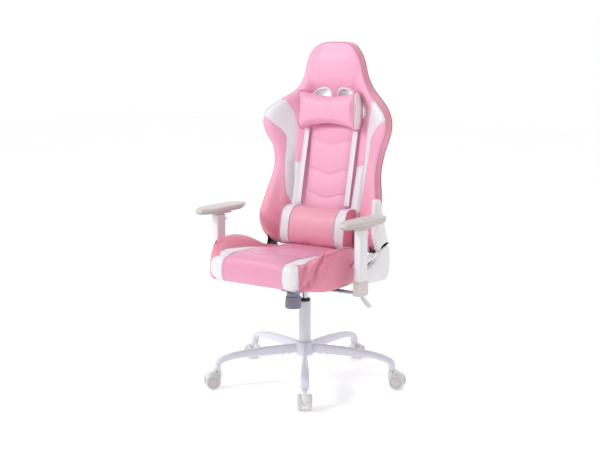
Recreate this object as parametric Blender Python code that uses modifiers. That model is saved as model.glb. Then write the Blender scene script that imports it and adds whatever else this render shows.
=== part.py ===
"""Gaming chair with a bucket seat, a reclining winged back, adjustable arms and a five-leg caster base.

Metres, +Z up. The sitter faces -Y, so +X is the sitter's left. Places are given from the
column's axis on the floor, and one empty shifts them all so that the origin is under the
middle of the chair.
"""
import math

import bmesh
import bpy
from mathutils import Matrix, Vector

GAP = 0.0003             # clearance between touching pieces
COLUMN_Y = -0.0265       # the column's axis, from the middle of the chair's outline

# Base
LEGS = 5
FIRST_LEG_TURN = math.radians(33.9)   # the first leg, from straight ahead towards +X
STEM_RADIUS = 0.344      # the caster stems' circle
LEG_TOP_Z = 0.127        # a leg's middle line at the hub
LEG_END_Z = 0.073
LEG_BEND_R = 0.215       # where the leg begins to bend down
LEG_BEND_END_Z = 0.092
HUB_RADIUS = 0.036
HUB_Z = (0.100, 0.152)
COLUMN_RADIUS = 0.0235
COLUMN_BORE = 0.0205
COLUMN_TOP_Z = 0.311
BUSHING_TOP_Z = 0.322

# Casters
WHEEL_RADIUS = 0.029
WHEEL_WIDTH = 0.017
FORK_HALF = 0.009
CASTER_TRAIL = 0.021
STEM_PIN_RADIUS = 0.0050
AXLE_RADIUS = 0.0040

# Gas lift and mechanism
CYLINDER_RADIUS = 0.014
CYLINDER_Z = (0.150, 0.378)
ROD_RADIUS = 0.0045
HOUSING_X = 0.045
HOUSING_Y = (-0.104, 0.022)
HOUSING_Z = (0.360, 0.386)
TILT_Y = -0.060
TILT_Z = 0.376
TILT_PIN_RADIUS = 0.005
KNOB_Y = -0.078
KNOB_RADIUS = 0.032
KNOB_Z = (0.297, 0.343)
LEVER_Y = -0.030
LEVER_Z = 0.373
PLATE_Z = (0.4065, 0.4105)

# Seat
PAN_Z = (PLATE_Z[1] + GAP, 0.4160)
# Stations from the front edge to the rear: y, half width, bottom, top at the middle, top at the wing
SEAT_STATIONS = [
    (-0.3405, 0.165, 0.447, 0.496, 0.494),
    (-0.3335, 0.187, 0.434, 0.510, 0.503),
    (-0.3185, 0.203, 0.428, 0.519, 0.509),
    (-0.2935, 0.222, 0.422, 0.525, 0.514),
    (-0.2685, 0.239, 0.419, 0.527, 0.524),
    (-0.2385, 0.254, 0.417, 0.527, 0.541),
    (-0.210, 0.263, 0.417, 0.525, 0.552),
    (-0.185, 0.266, 0.417, 0.524, 0.556),
    (-0.115, 0.266, 0.417, 0.520, 0.556),
    (-0.060, 0.262, 0.417, 0.514, 0.546),
    (-0.025, 0.256, 0.417, 0.509, 0.533),
    (0.010, 0.248, 0.417, 0.505, 0.509),
    (0.030, 0.242, 0.417, 0.502, 0.500),
    (0.055, 0.220, 0.417, 0.499, 0.493),
    (0.076, 0.200, 0.422, 0.493, 0.488),
    (0.085, 0.180, 0.440, 0.480, 0.478),
]

# Back
RECLINE_Y = 0.112
RECLINE_Z = 0.478
# Stations from the bottom up: z, half width, front at the middle, middle of the edge, depth at the
# middle, depth at the edge
BACK_STATIONS = [
    (0.492, 0.185, 0.125, 0.150, 0.040, 0.024),
    (0.500, 0.218, 0.119, 0.138, 0.060, 0.040),
    (0.525, 0.248, 0.118, 0.108, 0.072, 0.052),
    (0.570, 0.263, 0.124, 0.089, 0.076, 0.058),
    (0.620, 0.268, 0.135, 0.089, 0.078, 0.058),
    (0.700, 0.254, 0.151, 0.113, 0.078, 0.055),
    (0.800, 0.234, 0.172, 0.141, 0.078, 0.052),
    (0.880, 0.246, 0.186, 0.150, 0.078, 0.054),
    (0.940, 0.274, 0.196, 0.136, 0.078, 0.056),
    (0.980, 0.281, 0.202, 0.134, 0.078, 0.056),
    (1.020, 0.268, 0.207, 0.139, 0.076, 0.056),
    (1.060, 0.222, 0.208, 0.168, 0.074, 0.056),
    (1.100, 0.168, 0.205, 0.202, 0.070, 0.052),
    (1.150, 0.139, 0.189, 0.211, 0.066, 0.046),
    (1.210, 0.122, 0.191, 0.211, 0.062, 0.044),
    (1.245, 0.106, 0.198, 0.209, 0.056, 0.040),
    (1.265, 0.090, 0.204, 0.211, 0.048, 0.034),
    (1.278, 0.072, 0.209, 0.215, 0.032, 0.024),
    (1.284, 0.058, 0.216, 0.222, 0.014, 0.012),
]
GROOVE_X = 0.122         # where the flat middle of the back ends and its wings begin
BEZEL_WALL = 0.004
# The right-hand harness hole's outline, x and z, clockwise from its inner low corner
HOLE_OUTLINE = [(0.016, 1.062), (0.018, 1.092), (0.034, 1.106), (0.070, 1.100), (0.108, 1.072),
                (0.134, 1.030), (0.136, 1.006), (0.118, 0.998), (0.070, 1.022)]
STRAP_X = 0.110
STRAP_SHIFT = -0.013     # at the lumbar pillow, the straps sit a little to the sitter's right

# Recliner, arms
LOWER_BRACKET_X = (0.2265, 0.2315)
UPPER_BRACKET_X = (0.2320, 0.2370)
COVER_X = (0.2710, 0.2900)
ARM_X = 0.318
ARM_Y = -0.119
ARM_FOOT_Z = (0.403, 0.462)
SLEEVE_TOP_Z = 0.630
PAD_Z = (0.643, 0.6655)
PAD_Y = -0.106
PAD_LENGTH = 0.274


def clear_scene():
    for thing in list(bpy.data.objects):
        bpy.data.objects.remove(thing, do_unlink=True)


def make_collection(name):
    group = bpy.data.collections.new(name)
    bpy.context.scene.collection.children.link(group)
    return group


clear_scene()
PARTS = make_collection("gaming_chair")
CUTTERS = make_collection("gaming_chair_cutters")


def material(name, colour, roughness, metallic=0.0):
    mat = bpy.data.materials.new(name)
    mat.use_nodes = True
    shader = mat.node_tree.nodes["Principled BSDF"]
    shader.inputs["Base Color"].default_value = (*colour, 1.0)
    shader.inputs["Roughness"].default_value = roughness
    shader.inputs["Metallic"].default_value = metallic
    return mat


WHITE_PAINT = material("white_paint", (0.86, 0.86, 0.90), 0.35)
WHITE_PLASTIC = material("white_plastic", (0.84, 0.83, 0.84), 0.45)
PALE_PLASTIC = material("pale_grey_plastic", (0.74, 0.72, 0.69), 0.55)
BLACK_PLASTIC = material("black_plastic", (0.02, 0.02, 0.02), 0.5)
BLACK_STEEL = material("black_steel", (0.03, 0.03, 0.035), 0.45, 0.6)
CHROME = material("chromed_steel", (0.75, 0.76, 0.78), 0.18, 1.0)
PINK = material("pink_leatherette", (0.90, 0.40, 0.55), 0.45)
WHITE_LEATHER = material("white_leatherette", (0.88, 0.87, 0.88), 0.45)


def joint_empty(name, place, parent=None, turn=0.0):
    """An empty on a joint's axis; its pieces are parented to it."""
    empty = bpy.data.objects.new(name, None)
    empty.empty_display_size = 0.04
    PARTS.objects.link(empty)
    empty.parent = parent
    if parent:
        empty.matrix_parent_inverse = parent.matrix_world.inverted()
    empty.matrix_basis = Matrix.Translation(place) @ Matrix.Rotation(turn, 4, "Z")
    bpy.context.view_layer.update()
    return empty


def smooth(mesh, degrees=35.0):
    mesh.shade_smooth()
    mesh.set_sharp_from_angle(angle=math.radians(degrees))


def add_object(name, data, mat, parent):
    """Link a piece whose data is in the chair's frame and hang it on its joint's empty."""
    thing = bpy.data.objects.new(name, data)
    if mat and not data.materials:
        data.materials.append(mat)
    PARTS.objects.link(thing)
    thing.parent = parent
    thing.matrix_parent_inverse = parent.matrix_world.inverted()
    thing.matrix_basis = chair.matrix_world
    return thing


def add_cutter(name, data):
    thing = bpy.data.objects.new(name, data)
    CUTTERS.objects.link(thing)
    thing.matrix_basis = chair.matrix_world
    thing.hide_render = True
    thing.display_type = "WIRE"
    return thing


def combine(piece, tool, operation):
    step = piece.modifiers.new(operation.lower() + "_" + tool.name, "BOOLEAN")
    step.operation = operation
    step.object = tool
    step.solver = "EXACT"


def to_mesh(bm, name):
    mesh = bpy.data.meshes.new(name)
    bmesh.ops.recalc_face_normals(bm, faces=bm.faces)
    bm.to_mesh(mesh)
    bm.free()
    return mesh


def box_mesh(name, low, high, bevel=0.0, segments=2):
    bm = bmesh.new()
    bmesh.ops.create_cube(bm, size=1.0)
    size = Vector(high) - Vector(low)
    bmesh.ops.scale(bm, vec=size, verts=bm.verts)
    bmesh.ops.translate(bm, vec=(Vector(high) + Vector(low)) / 2, verts=bm.verts)
    if bevel:
        bmesh.ops.bevel(bm, geom=bm.edges[:], offset=bevel, segments=segments, affect="EDGES", profile=0.5)
    return to_mesh(bm, name)


def rod_mesh(name, start, end, radius, sides=16):
    """A plain round bar from one point to another."""
    start, end = Vector(start), Vector(end)
    axis = end - start
    bm = bmesh.new()
    bmesh.ops.create_cone(bm, cap_ends=True, segments=sides, radius1=radius, radius2=radius,
                          depth=axis.length)
    turn = axis.to_track_quat("Z", "Y").to_matrix().to_4x4()
    bmesh.ops.transform(bm, matrix=Matrix.Translation((start + end) / 2) @ turn, verts=bm.verts)
    mesh = to_mesh(bm, name)
    smooth(mesh)
    return mesh


def turned(name, profile, steps, closed, mat, parent, place=None):
    """A turned piece: the profile is (radius, height) points down its outer side, then up its bore."""
    mesh = bpy.data.meshes.new(name)
    edges = [(i, i + 1) for i in range(len(profile) - 1)]
    if closed:
        edges.append((len(profile) - 1, 0))
    mesh.from_pydata([(r, 0.0, z) for r, z in profile], edges, [])
    thing = add_object(name, mesh, mat, parent)
    if place is not None:
        thing.matrix_basis = place
    screw = thing.modifiers.new("turn", "SCREW")
    screw.axis = "Z"
    screw.angle = math.tau
    screw.steps = steps
    screw.render_steps = steps
    screw.use_merge_vertices = True
    screw.merge_threshold = 0.00001
    return thing


def plate_mesh(name, outline, x_low, x_high):
    """A flat plate across X, from an outline of (y, z) points."""
    bm = bmesh.new()
    face = bm.faces.new([bm.verts.new((x_low, y, z)) for y, z in outline])
    out = bmesh.ops.extrude_face_region(bm, geom=[face])
    moved = [v for v in out["geom"] if isinstance(v, bmesh.types.BMVert)]
    bmesh.ops.translate(bm, vec=(x_high - x_low, 0.0, 0.0), verts=moved)
    return to_mesh(bm, name)


def loft(name, rings, closed_ends=True):
    """A skin over rings that hold the same number of points, with an ngon at each end."""
    bm = bmesh.new()
    rows = [[bm.verts.new(p) for p in ring] for ring in rings]
    count = len(rings[0])
    for low, high in zip(rows, rows[1:]):
        for i in range(count):
            j = (i + 1) % count
            bm.faces.new((low[i], low[j], high[j], high[i]))
    if closed_ends:
        bm.faces.new(list(reversed(rows[0])))
        bm.faces.new(rows[-1])
    mesh = to_mesh(bm, name)
    smooth(mesh, 50.0)
    return mesh


def rounded(points, radius, steps=3):
    """A closed outline with each corner replaced by a short arc."""
    result = []
    count = len(points)
    for i in range(count):
        before, corner, after = (Vector(points[(i + k) % count]) for k in (-1, 0, 1))
        a, b = (before - corner), (after - corner)
        reach = min(radius, a.length * 0.45, b.length * 0.45)
        start, end = corner + a.normalized() * reach, corner + b.normalized() * reach
        for k in range(steps + 1):
            t = k / steps
            point = start * (1 - t) ** 2 + corner * 2 * t * (1 - t) + end * t ** 2
            result.append((point.x, point.y))
    return result


def arc(centre, radius, start_deg, end_deg, steps):
    angles = [math.radians(start_deg + (end_deg - start_deg) * k / steps) for k in range(steps + 1)]
    return [(centre[0] + radius * math.cos(a), centre[1] + radius * math.sin(a)) for a in angles]


def smoothstep(t):
    t = min(1.0, max(0.0, t))
    return t * t * (3 - 2 * t)


def between(stations, at):
    """The stations' values at one place, on a smooth curve through them."""
    last = len(stations) - 1
    i = max(k for k in range(last) if stations[k][0] <= at or k == 0)
    p0, p1 = stations[max(i - 1, 0)], stations[i]
    p2, p3 = stations[i + 1], stations[min(i + 2, last)]
    span = p2[0] - p1[0]
    t = (at - p1[0]) / span
    values = []
    for a, b, c, d in zip(p0[1:], p1[1:], p2[1:], p3[1:]):
        slope1 = (c - a) / max(p2[0] - p0[0], 1e-9) * span
        slope2 = (d - b) / max(p3[0] - p1[0], 1e-9) * span
        h = (2 * t ** 3 - 3 * t ** 2 + 1, t ** 3 - 2 * t ** 2 + t, 3 * t ** 2 - 2 * t ** 3, t ** 3 - t ** 2)
        values.append(h[0] * b + h[1] * slope1 + h[2] * c + h[3] * slope2)
    return values


def leg_direction(n):
    turn = FIRST_LEG_TURN + math.tau * n / LEGS
    return Vector((math.sin(turn), -math.cos(turn), 0.0))


# The empties: one for the whole chair, and one on each joint's axis
chair = joint_empty("chair_origin", (0.0, COLUMN_Y, 0.0))


def axis_empty(name, place, parent, turn=0.0):
    return joint_empty(name, Vector(place) + Vector((0.0, COLUMN_Y, 0.0)), parent, turn)


lift_axis = axis_empty("lift_axis", (0, 0, COLUMN_TOP_Z), chair)
swivel_axis = axis_empty("swivel_axis", (0, 0, HOUSING_Z[0]), lift_axis)
knob_axis = axis_empty("knob_axis", (0, KNOB_Y, KNOB_Z[1]), swivel_axis)
lever_axis = axis_empty("lever_axis", (HOUSING_X, LEVER_Y, LEVER_Z), swivel_axis)
tilt_axis = axis_empty("tilt_axis", (0, TILT_Y, TILT_Z), swivel_axis)
recline_axis = axis_empty("recline_axis", (0, RECLINE_Y, RECLINE_Z), tilt_axis)


def make_hub():
    top, bottom = HUB_Z[1], HUB_Z[0]
    inner = COLUMN_RADIUS + GAP
    profile = [(HUB_RADIUS - 0.003, top), (HUB_RADIUS, top - 0.003), (HUB_RADIUS, bottom + 0.002),
               (HUB_RADIUS - 0.002, bottom), (inner, bottom), (inner, top)]
    turned("base_hub", profile, 28, True, WHITE_PAINT, chair)


def leg_path():
    """Middle line of a leg, as (distance out, height)."""
    start = HUB_RADIUS + 0.0006
    level = LEG_TOP_Z - 0.004
    points = [(start, LEG_TOP_Z), (0.100, LEG_TOP_Z - 0.001), (0.160, LEG_TOP_Z - 0.002), (LEG_BEND_R, level)]
    wide, tall = STEM_RADIUS - LEG_BEND_R, level - LEG_BEND_END_Z
    for k in range(1, 7):
        a = math.pi / 2 * k / 6
        points.append((LEG_BEND_R + wide * math.sin(a), LEG_BEND_END_Z + tall * math.cos(a)))
    points.append((STEM_RADIUS, LEG_END_Z))
    return points


def leg_rings():
    """Oval sections along a leg: narrow and tall at the hub, wide and thin where it meets the stem."""
    points = leg_path()
    rings = []
    sides = 12
    total = len(points) - 1
    for i, (r, z) in enumerate(points):
        before, after = Vector(points[max(i - 1, 0)]), Vector(points[min(i + 1, total)])
        along = (after - before).normalized()
        across = Vector((along.y, -along.x))      # outer side of the bend
        run = smoothstep((r - 0.12) / (STEM_RADIUS - 0.12))
        half_width = 0.0095 + (0.0165 - 0.0095) * run
        half_tall = 0.0185 - (0.0185 - 0.0115) * run
        ring = []
        for k in range(sides):
            a = math.tau * k / sides
            out = Vector((r, z)) - across * half_tall * math.sin(a)
            ring.append(Vector((out.x, half_width * math.cos(a), out.y)))
        rings.append(ring)
    bore = STEM_PIN_RADIUS + GAP
    for height in (LEG_END_Z, LEG_END_Z + 0.0153):
        ring = []
        for k in range(sides):
            a = math.tau * k / sides
            ring.append(Vector((STEM_RADIUS + bore * math.sin(a), bore * math.cos(a), height)))
        rings.append(ring)
    return rings


def make_legs():
    rings = leg_rings()
    for n in range(LEGS):
        out = leg_direction(n)
        turn = Matrix.Rotation(math.atan2(out.y, out.x), 4, "Z")
        mesh = loft("base_leg_%d" % (n + 1), [[turn @ p for p in ring] for ring in rings])
        add_object("base_leg_%d" % (n + 1), mesh, WHITE_PAINT, chair)


def make_column():
    bottom = HUB_Z[0]
    profile = [(0.0, bottom + 0.004), (COLUMN_BORE, bottom + 0.004), (COLUMN_BORE, COLUMN_TOP_Z),
               (COLUMN_RADIUS - 0.001, COLUMN_TOP_Z), (COLUMN_RADIUS, COLUMN_TOP_Z - 0.001),
               (COLUMN_RADIUS, bottom), (0.0, bottom)]
    turned("column_tube", profile, 24, False, WHITE_PAINT, chair)
    slide = CYLINDER_RADIUS + GAP
    flange = 0.0213
    low = 0.262
    profile = [(flange - 0.001, BUSHING_TOP_Z), (flange, BUSHING_TOP_Z - 0.001), (flange, COLUMN_TOP_Z + GAP),
               (COLUMN_BORE - GAP, COLUMN_TOP_Z + GAP), (COLUMN_BORE - GAP, low), (slide, low),
               (slide, BUSHING_TOP_Z)]
    turned("column_bushing", profile, 24, True, BLACK_PLASTIC, chair)
    rod = rod_mesh("piston_rod", (0, 0, HUB_Z[0] + 0.004 + GAP), (0, 0, 0.305), ROD_RADIUS, 12)
    add_object("piston_rod", rod, CHROME, chair)
    low, high = CYLINDER_Z
    bore = ROD_RADIUS + GAP
    profile = [(0.0, high), (CYLINDER_RADIUS - 0.001, high), (CYLINDER_RADIUS, high - 0.001),
               (CYLINDER_RADIUS, low), (bore, low), (bore, 0.345), (0.0, 0.345)]
    turned("gas_cylinder", profile, 24, False, CHROME, lift_axis)


def fork_mesh():
    """Hood between the wheels, with the stem pin and the axle, its origin under the stem."""
    hood = rounded([(-0.012, 0.040), (-0.012, 0.0715), (0.012, 0.0715), (0.034, 0.056), (0.040, 0.034),
                    (0.030, 0.013), (0.010, 0.010)], 0.008, 2)
    mesh = bpy.data.meshes.new("caster_fork")
    bm = bmesh.new()
    face = bm.faces.new([bm.verts.new((x, -FORK_HALF, z)) for x, z in hood])
    out = bmesh.ops.extrude_face_region(bm, geom=[face])
    moved = [v for v in out["geom"] if isinstance(v, bmesh.types.BMVert)]
    bmesh.ops.translate(bm, vec=(0.0, 2 * FORK_HALF, 0.0), verts=moved)
    bmesh.ops.recalc_face_normals(bm, faces=bm.faces)
    bm.to_mesh(mesh)
    bm.free()
    return mesh


def wheel_profile():
    """Across the outer face, over the tread and back to the blind bore; height is along the axle."""
    bore = AXLE_RADIUS + GAP
    half = WHEEL_WIDTH
    return [(0.0, half), (WHEEL_RADIUS - 0.004, half),
            (WHEEL_RADIUS, half - 0.005), (WHEEL_RADIUS, 0.003), (WHEEL_RADIUS - 0.003, 0.0),
            (bore, 0.0), (bore, 0.0113), (0.0, 0.0113)]


def make_casters():
    stem = rod_mesh("stem", (0, 0, 0.060), (0, 0, 0.088), STEM_PIN_RADIUS, 12)
    reach = FORK_HALF + 0.011
    axle = rod_mesh("axle", (CASTER_TRAIL, -reach, WHEEL_RADIUS), (CASTER_TRAIL, reach, WHEEL_RADIUS),
                    AXLE_RADIUS, 12)
    for n in range(LEGS):
        out = leg_direction(n)
        turn = math.atan2(out.y, out.x)
        axis = axis_empty("caster_axis_%d" % (n + 1), out * STEM_RADIUS, chair, turn)
        fork = add_object("caster_fork_%d" % (n + 1), fork_mesh(), WHITE_PLASTIC, axis)
        fork.matrix_basis = axis.matrix_world
        for label, tool in (("stem", stem), ("axle", axle)):
            cutter = add_cutter("fork_%s_%d" % (label, n + 1), tool)
            cutter.matrix_basis = axis.matrix_world
            combine(fork, cutter, "UNION")
        for label, side in (("a", 1), ("b", -1)):
            place = Matrix.Translation((CASTER_TRAIL, side * (FORK_HALF + 0.0005), WHEEL_RADIUS))
            face_out = Matrix.Rotation(-side * math.pi / 2, 4, "X")
            turned("caster_wheel_%d%s" % (n + 1, label), wheel_profile(), 16, False, WHITE_PLASTIC, axis,
                   axis.matrix_world @ place @ face_out)


def make_mechanism():
    housing = box_mesh("mechanism_housing", (-HOUSING_X, HOUSING_Y[0], HOUSING_Z[0]),
                       (HOUSING_X, HOUSING_Y[1], HOUSING_Z[1]), 0.004, 1)
    housing = add_object("mechanism_housing", housing, BLACK_STEEL, swivel_axis)
    pin_bore = rod_mesh("tilt_bore", (-0.1, TILT_Y, TILT_Z), (0.1, TILT_Y, TILT_Z), TILT_PIN_RADIUS + GAP)
    tube_bore = rod_mesh("cylinder_bore", (0, 0, 0.3), (0, 0, CYLINDER_Z[1] + GAP), CYLINDER_RADIUS + GAP, 24)
    knob_bore = rod_mesh("knob_bore", (0, KNOB_Y, 0.3), (0, KNOB_Y, HOUSING_Z[0] + 0.0094), 0.0063, 12)
    lever_bore = rod_mesh("lever_bore", (0.024, LEVER_Y, LEVER_Z), (0.1, LEVER_Y, LEVER_Z), 0.0068, 12)
    for label, tool in (("tilt", pin_bore), ("tube", tube_bore), ("knob", knob_bore), ("lever", lever_bore)):
        combine(housing, add_cutter("housing_%s_cut" % label, tool), "DIFFERENCE")
    pin = rod_mesh("tilt_pin", (-0.056, TILT_Y, TILT_Z), (0.056, TILT_Y, TILT_Z), TILT_PIN_RADIUS)
    add_object("tilt_pin", pin, CHROME, swivel_axis)
    make_knob()
    make_height_lever()
    make_seat_plate(pin_bore)


def make_knob():
    low, high = KNOB_Z
    r = KNOB_RADIUS
    neck, top = 0.025, HOUSING_Z[0] - 0.001
    profile = [(0.0, top + 0.010), (0.006, top + 0.010), (0.006, top), (neck, top), (neck, high + 0.0005),
               (r - 0.003, high), (r - 0.001, high - 0.003), (r, low + 0.006), (r - 0.004, low), (0.0, low)]
    place = chair.matrix_world @ Matrix.Translation((0, KNOB_Y, 0))
    turned("tension_knob", profile, 20, False, PALE_PLASTIC, knob_axis, place)


def make_height_lever():
    """Steel rod out of the housing's side, bent down into a flat paddle."""
    bend_x, end_x, end_z = 0.264, 0.303, 0.332
    rod = rod_mesh("lever_rod", (0.028, LEVER_Y, LEVER_Z), (bend_x, LEVER_Y, LEVER_Z), 0.004, 10)
    lever = add_object("height_lever", rod, WHITE_PLASTIC, lever_axis)
    bm = bmesh.new()
    bmesh.ops.create_cube(bm, size=1.0)
    length = math.hypot(end_x - bend_x, LEVER_Z - end_z) + 0.016
    bmesh.ops.scale(bm, vec=(length, 0.024, 0.011), verts=bm.verts)
    bmesh.ops.bevel(bm, geom=bm.edges[:], offset=0.004, segments=2, affect="EDGES", profile=0.5)
    middle = Vector(((bend_x + end_x) / 2 - 0.002, LEVER_Y, (LEVER_Z + end_z) / 2))
    slope = math.atan2(LEVER_Z - end_z, end_x - bend_x)
    place = Matrix.Translation(middle) @ Matrix.Rotation(slope, 4, "Y")
    bmesh.ops.transform(bm, matrix=place, verts=bm.verts)
    combine(lever, add_cutter("lever_paddle", to_mesh(bm, "lever_paddle")), "UNION")


def make_seat_plate(pin_bore):
    plate = box_mesh("seat_plate", (-0.085, -0.120, PLATE_Z[0]), (0.085, 0.085, PLATE_Z[1]))
    plate = add_object("seat_plate", plate, BLACK_STEEL, tilt_axis)
    for side in (-1, 1):
        inner, outer = HOUSING_X + 0.0015, HOUSING_X + 0.0055
        low, high = sorted((side * inner, side * outer))
        foot, root = TILT_Z - 0.011, PLATE_Z[0] + 0.002
        outline = [(TILT_Y - 0.020, root), (TILT_Y - 0.011, foot),
                   (TILT_Y + 0.011, foot), (TILT_Y + 0.020, root)]
        ear = plate_mesh("ear", rounded(outline, 0.008, 2), low, high)
        combine(plate, add_cutter("plate_ear_%s" % ("left" if side > 0 else "right"), ear), "UNION")
    combine(plate, add_cutter("plate_pin_cut", pin_bore), "DIFFERENCE")


def seat_section(y):
    """One section of the seat across X: flat below, with a raised wing at each side."""
    half, low, middle, wing = between(SEAT_STATIONS, y)
    depth = min(1.0, (middle - low) / 0.09)
    ring = []
    for s in (0.0, 0.30, 0.52, 0.66, 0.78, 0.87, 0.93, 0.97, 1.0):
        rise = smoothstep((s - 0.60) / 0.36)
        dip = -0.005 * depth * math.exp(-((s - 0.64) / 0.12) ** 2)
        edge = max(0.0, (s - 0.93) / 0.07)
        fall = (wing - low) * 0.32 * (1 - math.sqrt(max(0.0, 1 - edge * edge)))
        ring.append((half * s, middle + (wing - middle) * rise + dip - fall))
    bottom = [(half * 0.99, low + (wing - low) * 0.32), (half * 0.955, low + 0.017),
              (half * 0.88, low + 0.005), (half * 0.62, low)]
    right = ring + bottom
    left = [(-x, z) for x, z in reversed(right) if x > 0]
    return [Vector((x, y, z)) for x, z in right + [(0.0, low)] + left]


def make_seat():
    pan = box_mesh("seat_pan", (-0.185, -0.200, PAN_Z[0]), (0.185, 0.062, PAN_Z[1]), 0.002, 1)
    add_object("seat_pan", pan, BLACK_STEEL, tilt_axis)
    places = [-0.3405, -0.336, -0.327, -0.310, -0.2885, -0.2635, -0.236, -0.210, -0.185, -0.140,
              -0.095, -0.055, -0.025, 0.005, 0.030, 0.055, 0.072, 0.081, 0.085]
    add_object("seat_cushion", loft("seat_cushion", [seat_section(y) for y in places]), PINK, tilt_axis)


def back_edge(s):
    """How much of the depth is left near the edge, where front and rear meet in a round."""
    return math.sqrt(max(0.0, 1.0 - s ** 10))


def back_walls(x, z):
    """The back's front and rear at one place, before its edge is rounded."""
    half, front, edge, depth, edge_depth = between(BACK_STATIONS, z)
    groove = min(GROOVE_X, half * 0.5)
    rise = smoothstep((abs(x) - groove) / (half - groove))
    near = front + (edge - edge_depth / 2 - front) * rise
    far = front + depth + (edge + edge_depth / 2 - front - depth) * (abs(x) / half) ** 5
    return near, far


def back_section(z):
    """One level section of the back: a flat middle, wings that come forward, and a fuller rear."""
    half, _, edge, _, _ = between(BACK_STATIONS, z)
    face, rear = [], []
    for s in (0.0, 0.25, 0.46, 0.58, 0.70, 0.82, 0.91, 0.965, 1.0):
        near, far = back_walls(half * s, z)
        face.append((half * s, edge + (near - edge) * back_edge(s)))
        rear.append((half * s, edge + (far - edge) * back_edge(s)))
    right = face + list(reversed(rear))[1:]
    left = [(-x, y) for x, y in reversed(right) if x > 0]
    return [Vector((x, y, z)) for x, y in right + left]


def back_heights():
    heights = [0.492, 0.496, 0.502, 0.512, 0.528]
    heights += [0.550 + 0.035 * k for k in range(20)]
    return heights + [1.235, 1.250, 1.263, 1.273, 1.280, 1.284]


def frame_points():
    """Middle line of the bent tube inside the back, on the +X side from the bottom up to the top."""
    path = [(0.2220, 0.530), (0.2220, 0.620), (0.2000, 0.700), (0.1900, 0.800), (0.1950, 0.900),
            (0.2050, 0.970), (0.1880, 1.040), (0.1400, 1.095), (0.0900, 1.140), (0.0720, 1.190),
            (0.0420, 1.225), (0.0, 1.232)]
    return [Vector((x, sum(back_walls(x, z)) / 2, z)) for x, z in path]


def tube_mesh(name, points, radius, resolution):
    curve = bpy.data.curves.new(name + "_curve", "CURVE")
    curve.dimensions = "3D"
    curve.bevel_depth = radius
    curve.bevel_resolution = resolution
    curve.use_fill_caps = True
    spline = curve.splines.new("POLY")
    spline.points.add(len(points) - 1)
    for slot, point in zip(spline.points, points):
        slot.co = (*point, 1.0)
    return curve_to_mesh(name, curve)


def curve_to_mesh(name, curve):
    holder = bpy.data.objects.new(name + "_holder", curve)
    bpy.context.scene.collection.objects.link(holder)
    graph = bpy.context.evaluated_depsgraph_get()
    mesh = bpy.data.meshes.new_from_object(holder.evaluated_get(graph))
    bpy.data.objects.remove(holder, do_unlink=True)
    bm = bmesh.new()
    bm.from_mesh(mesh)
    bmesh.ops.remove_doubles(bm, verts=bm.verts, dist=0.00001)
    bmesh.ops.recalc_face_normals(bm, faces=bm.faces)
    bm.to_mesh(mesh)
    bm.free()
    mesh.name = name
    return mesh


def grown(outline, offset):
    """The outline moved outward by an offset, corner by corner."""
    count = len(outline)
    area = sum(outline[i][0] * outline[(i + 1) % count][1] - outline[(i + 1) % count][0] * outline[i][1]
               for i in range(count))
    sign = 1.0 if area > 0 else -1.0
    result = []
    for i in range(count):
        before, here, after = (Vector(outline[(i + k) % count]) for k in (-1, 0, 1))
        a, b = (here - before).normalized(), (after - here).normalized()
        normal = Vector((a.y + b.y, -a.x - b.x)).normalized() * sign
        cosine = max(0.5, normal.dot(Vector((a.y, -a.x)) * sign))
        result.append(tuple(here + normal * offset / cosine))
    return result


def wall_mesh(name, outline, y_low, y_high):
    """A solid prism along Y over an outline of (x, z) points."""
    bm = bmesh.new()
    face = bm.faces.new([bm.verts.new((x, y_low, z)) for x, z in outline])
    out = bmesh.ops.extrude_face_region(bm, geom=[face])
    moved = [v for v in out["geom"] if isinstance(v, bmesh.types.BMVert)]
    bmesh.ops.translate(bm, vec=(0.0, y_high - y_low, 0.0), verts=moved)
    return to_mesh(bm, name)


def bezel_mesh(name, outline):
    """A short tube with a level rim, lining a harness hole from the front to the rear of the back."""
    outer = grown(outline, BEZEL_WALL)
    rows = [(outer, 0.200), (outer, 0.282), (outline, 0.282), (outline, 0.200)]
    bm = bmesh.new()
    rings = [[bm.verts.new((x, y, z)) for x, z in points] for points, y in rows]
    count = len(outline)
    for i in range(4):
        a, b = rings[i], rings[(i + 1) % 4]
        for k in range(count):
            m = (k + 1) % count
            bm.faces.new((a[k], a[m], b[m], b[k]))
    return to_mesh(bm, name)


def make_back():
    sections = [back_section(z) for z in back_heights()]
    cushion = add_object("back_cushion", loft("back_cushion", sections), PINK, recline_axis)
    half_path = frame_points()
    path = half_path + [Vector((-p.x, p.y, p.z)) for p in reversed(half_path[:-1])]
    frame = tube_mesh("back_frame", path, 0.0085, 1)
    smooth(frame, 60.0)
    add_object("back_frame", frame, BLACK_STEEL, recline_axis)
    below = [path[0] - Vector((0, 0, 0.06))] + path + [path[-1] - Vector((0, 0, 0.06))]
    combine(cushion, add_cutter("back_frame_space", tube_mesh("back_frame_space", below, 0.0095, 1)),
            "DIFFERENCE")
    for side, label in ((1, "left"), (-1, "right")):
        outline = rounded([(side * x, z) for x, z in HOLE_OUTLINE], 0.016, 2)
        hole = wall_mesh("harness_hole", grown(outline, BEZEL_WALL + GAP), 0.10, 0.36)
        combine(cushion, add_cutter("harness_hole_" + label, hole), "DIFFERENCE")
        bezel = bezel_mesh("harness_bezel", outline)
        add_object("harness_bezel_" + label, bezel, WHITE_PLASTIC, recline_axis)
        low, high = sorted((side * (UPPER_BRACKET_X[0] - 0.0004), side * (UPPER_BRACKET_X[1] + 0.0004)))
        slot = box_mesh("bracket_slot", (low, RECLINE_Y - 0.0254, 0.40), (high, RECLINE_Y + 0.0254, 0.6204))
        combine(cushion, add_cutter("bracket_slot_" + label, slot), "DIFFERENCE")


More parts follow.
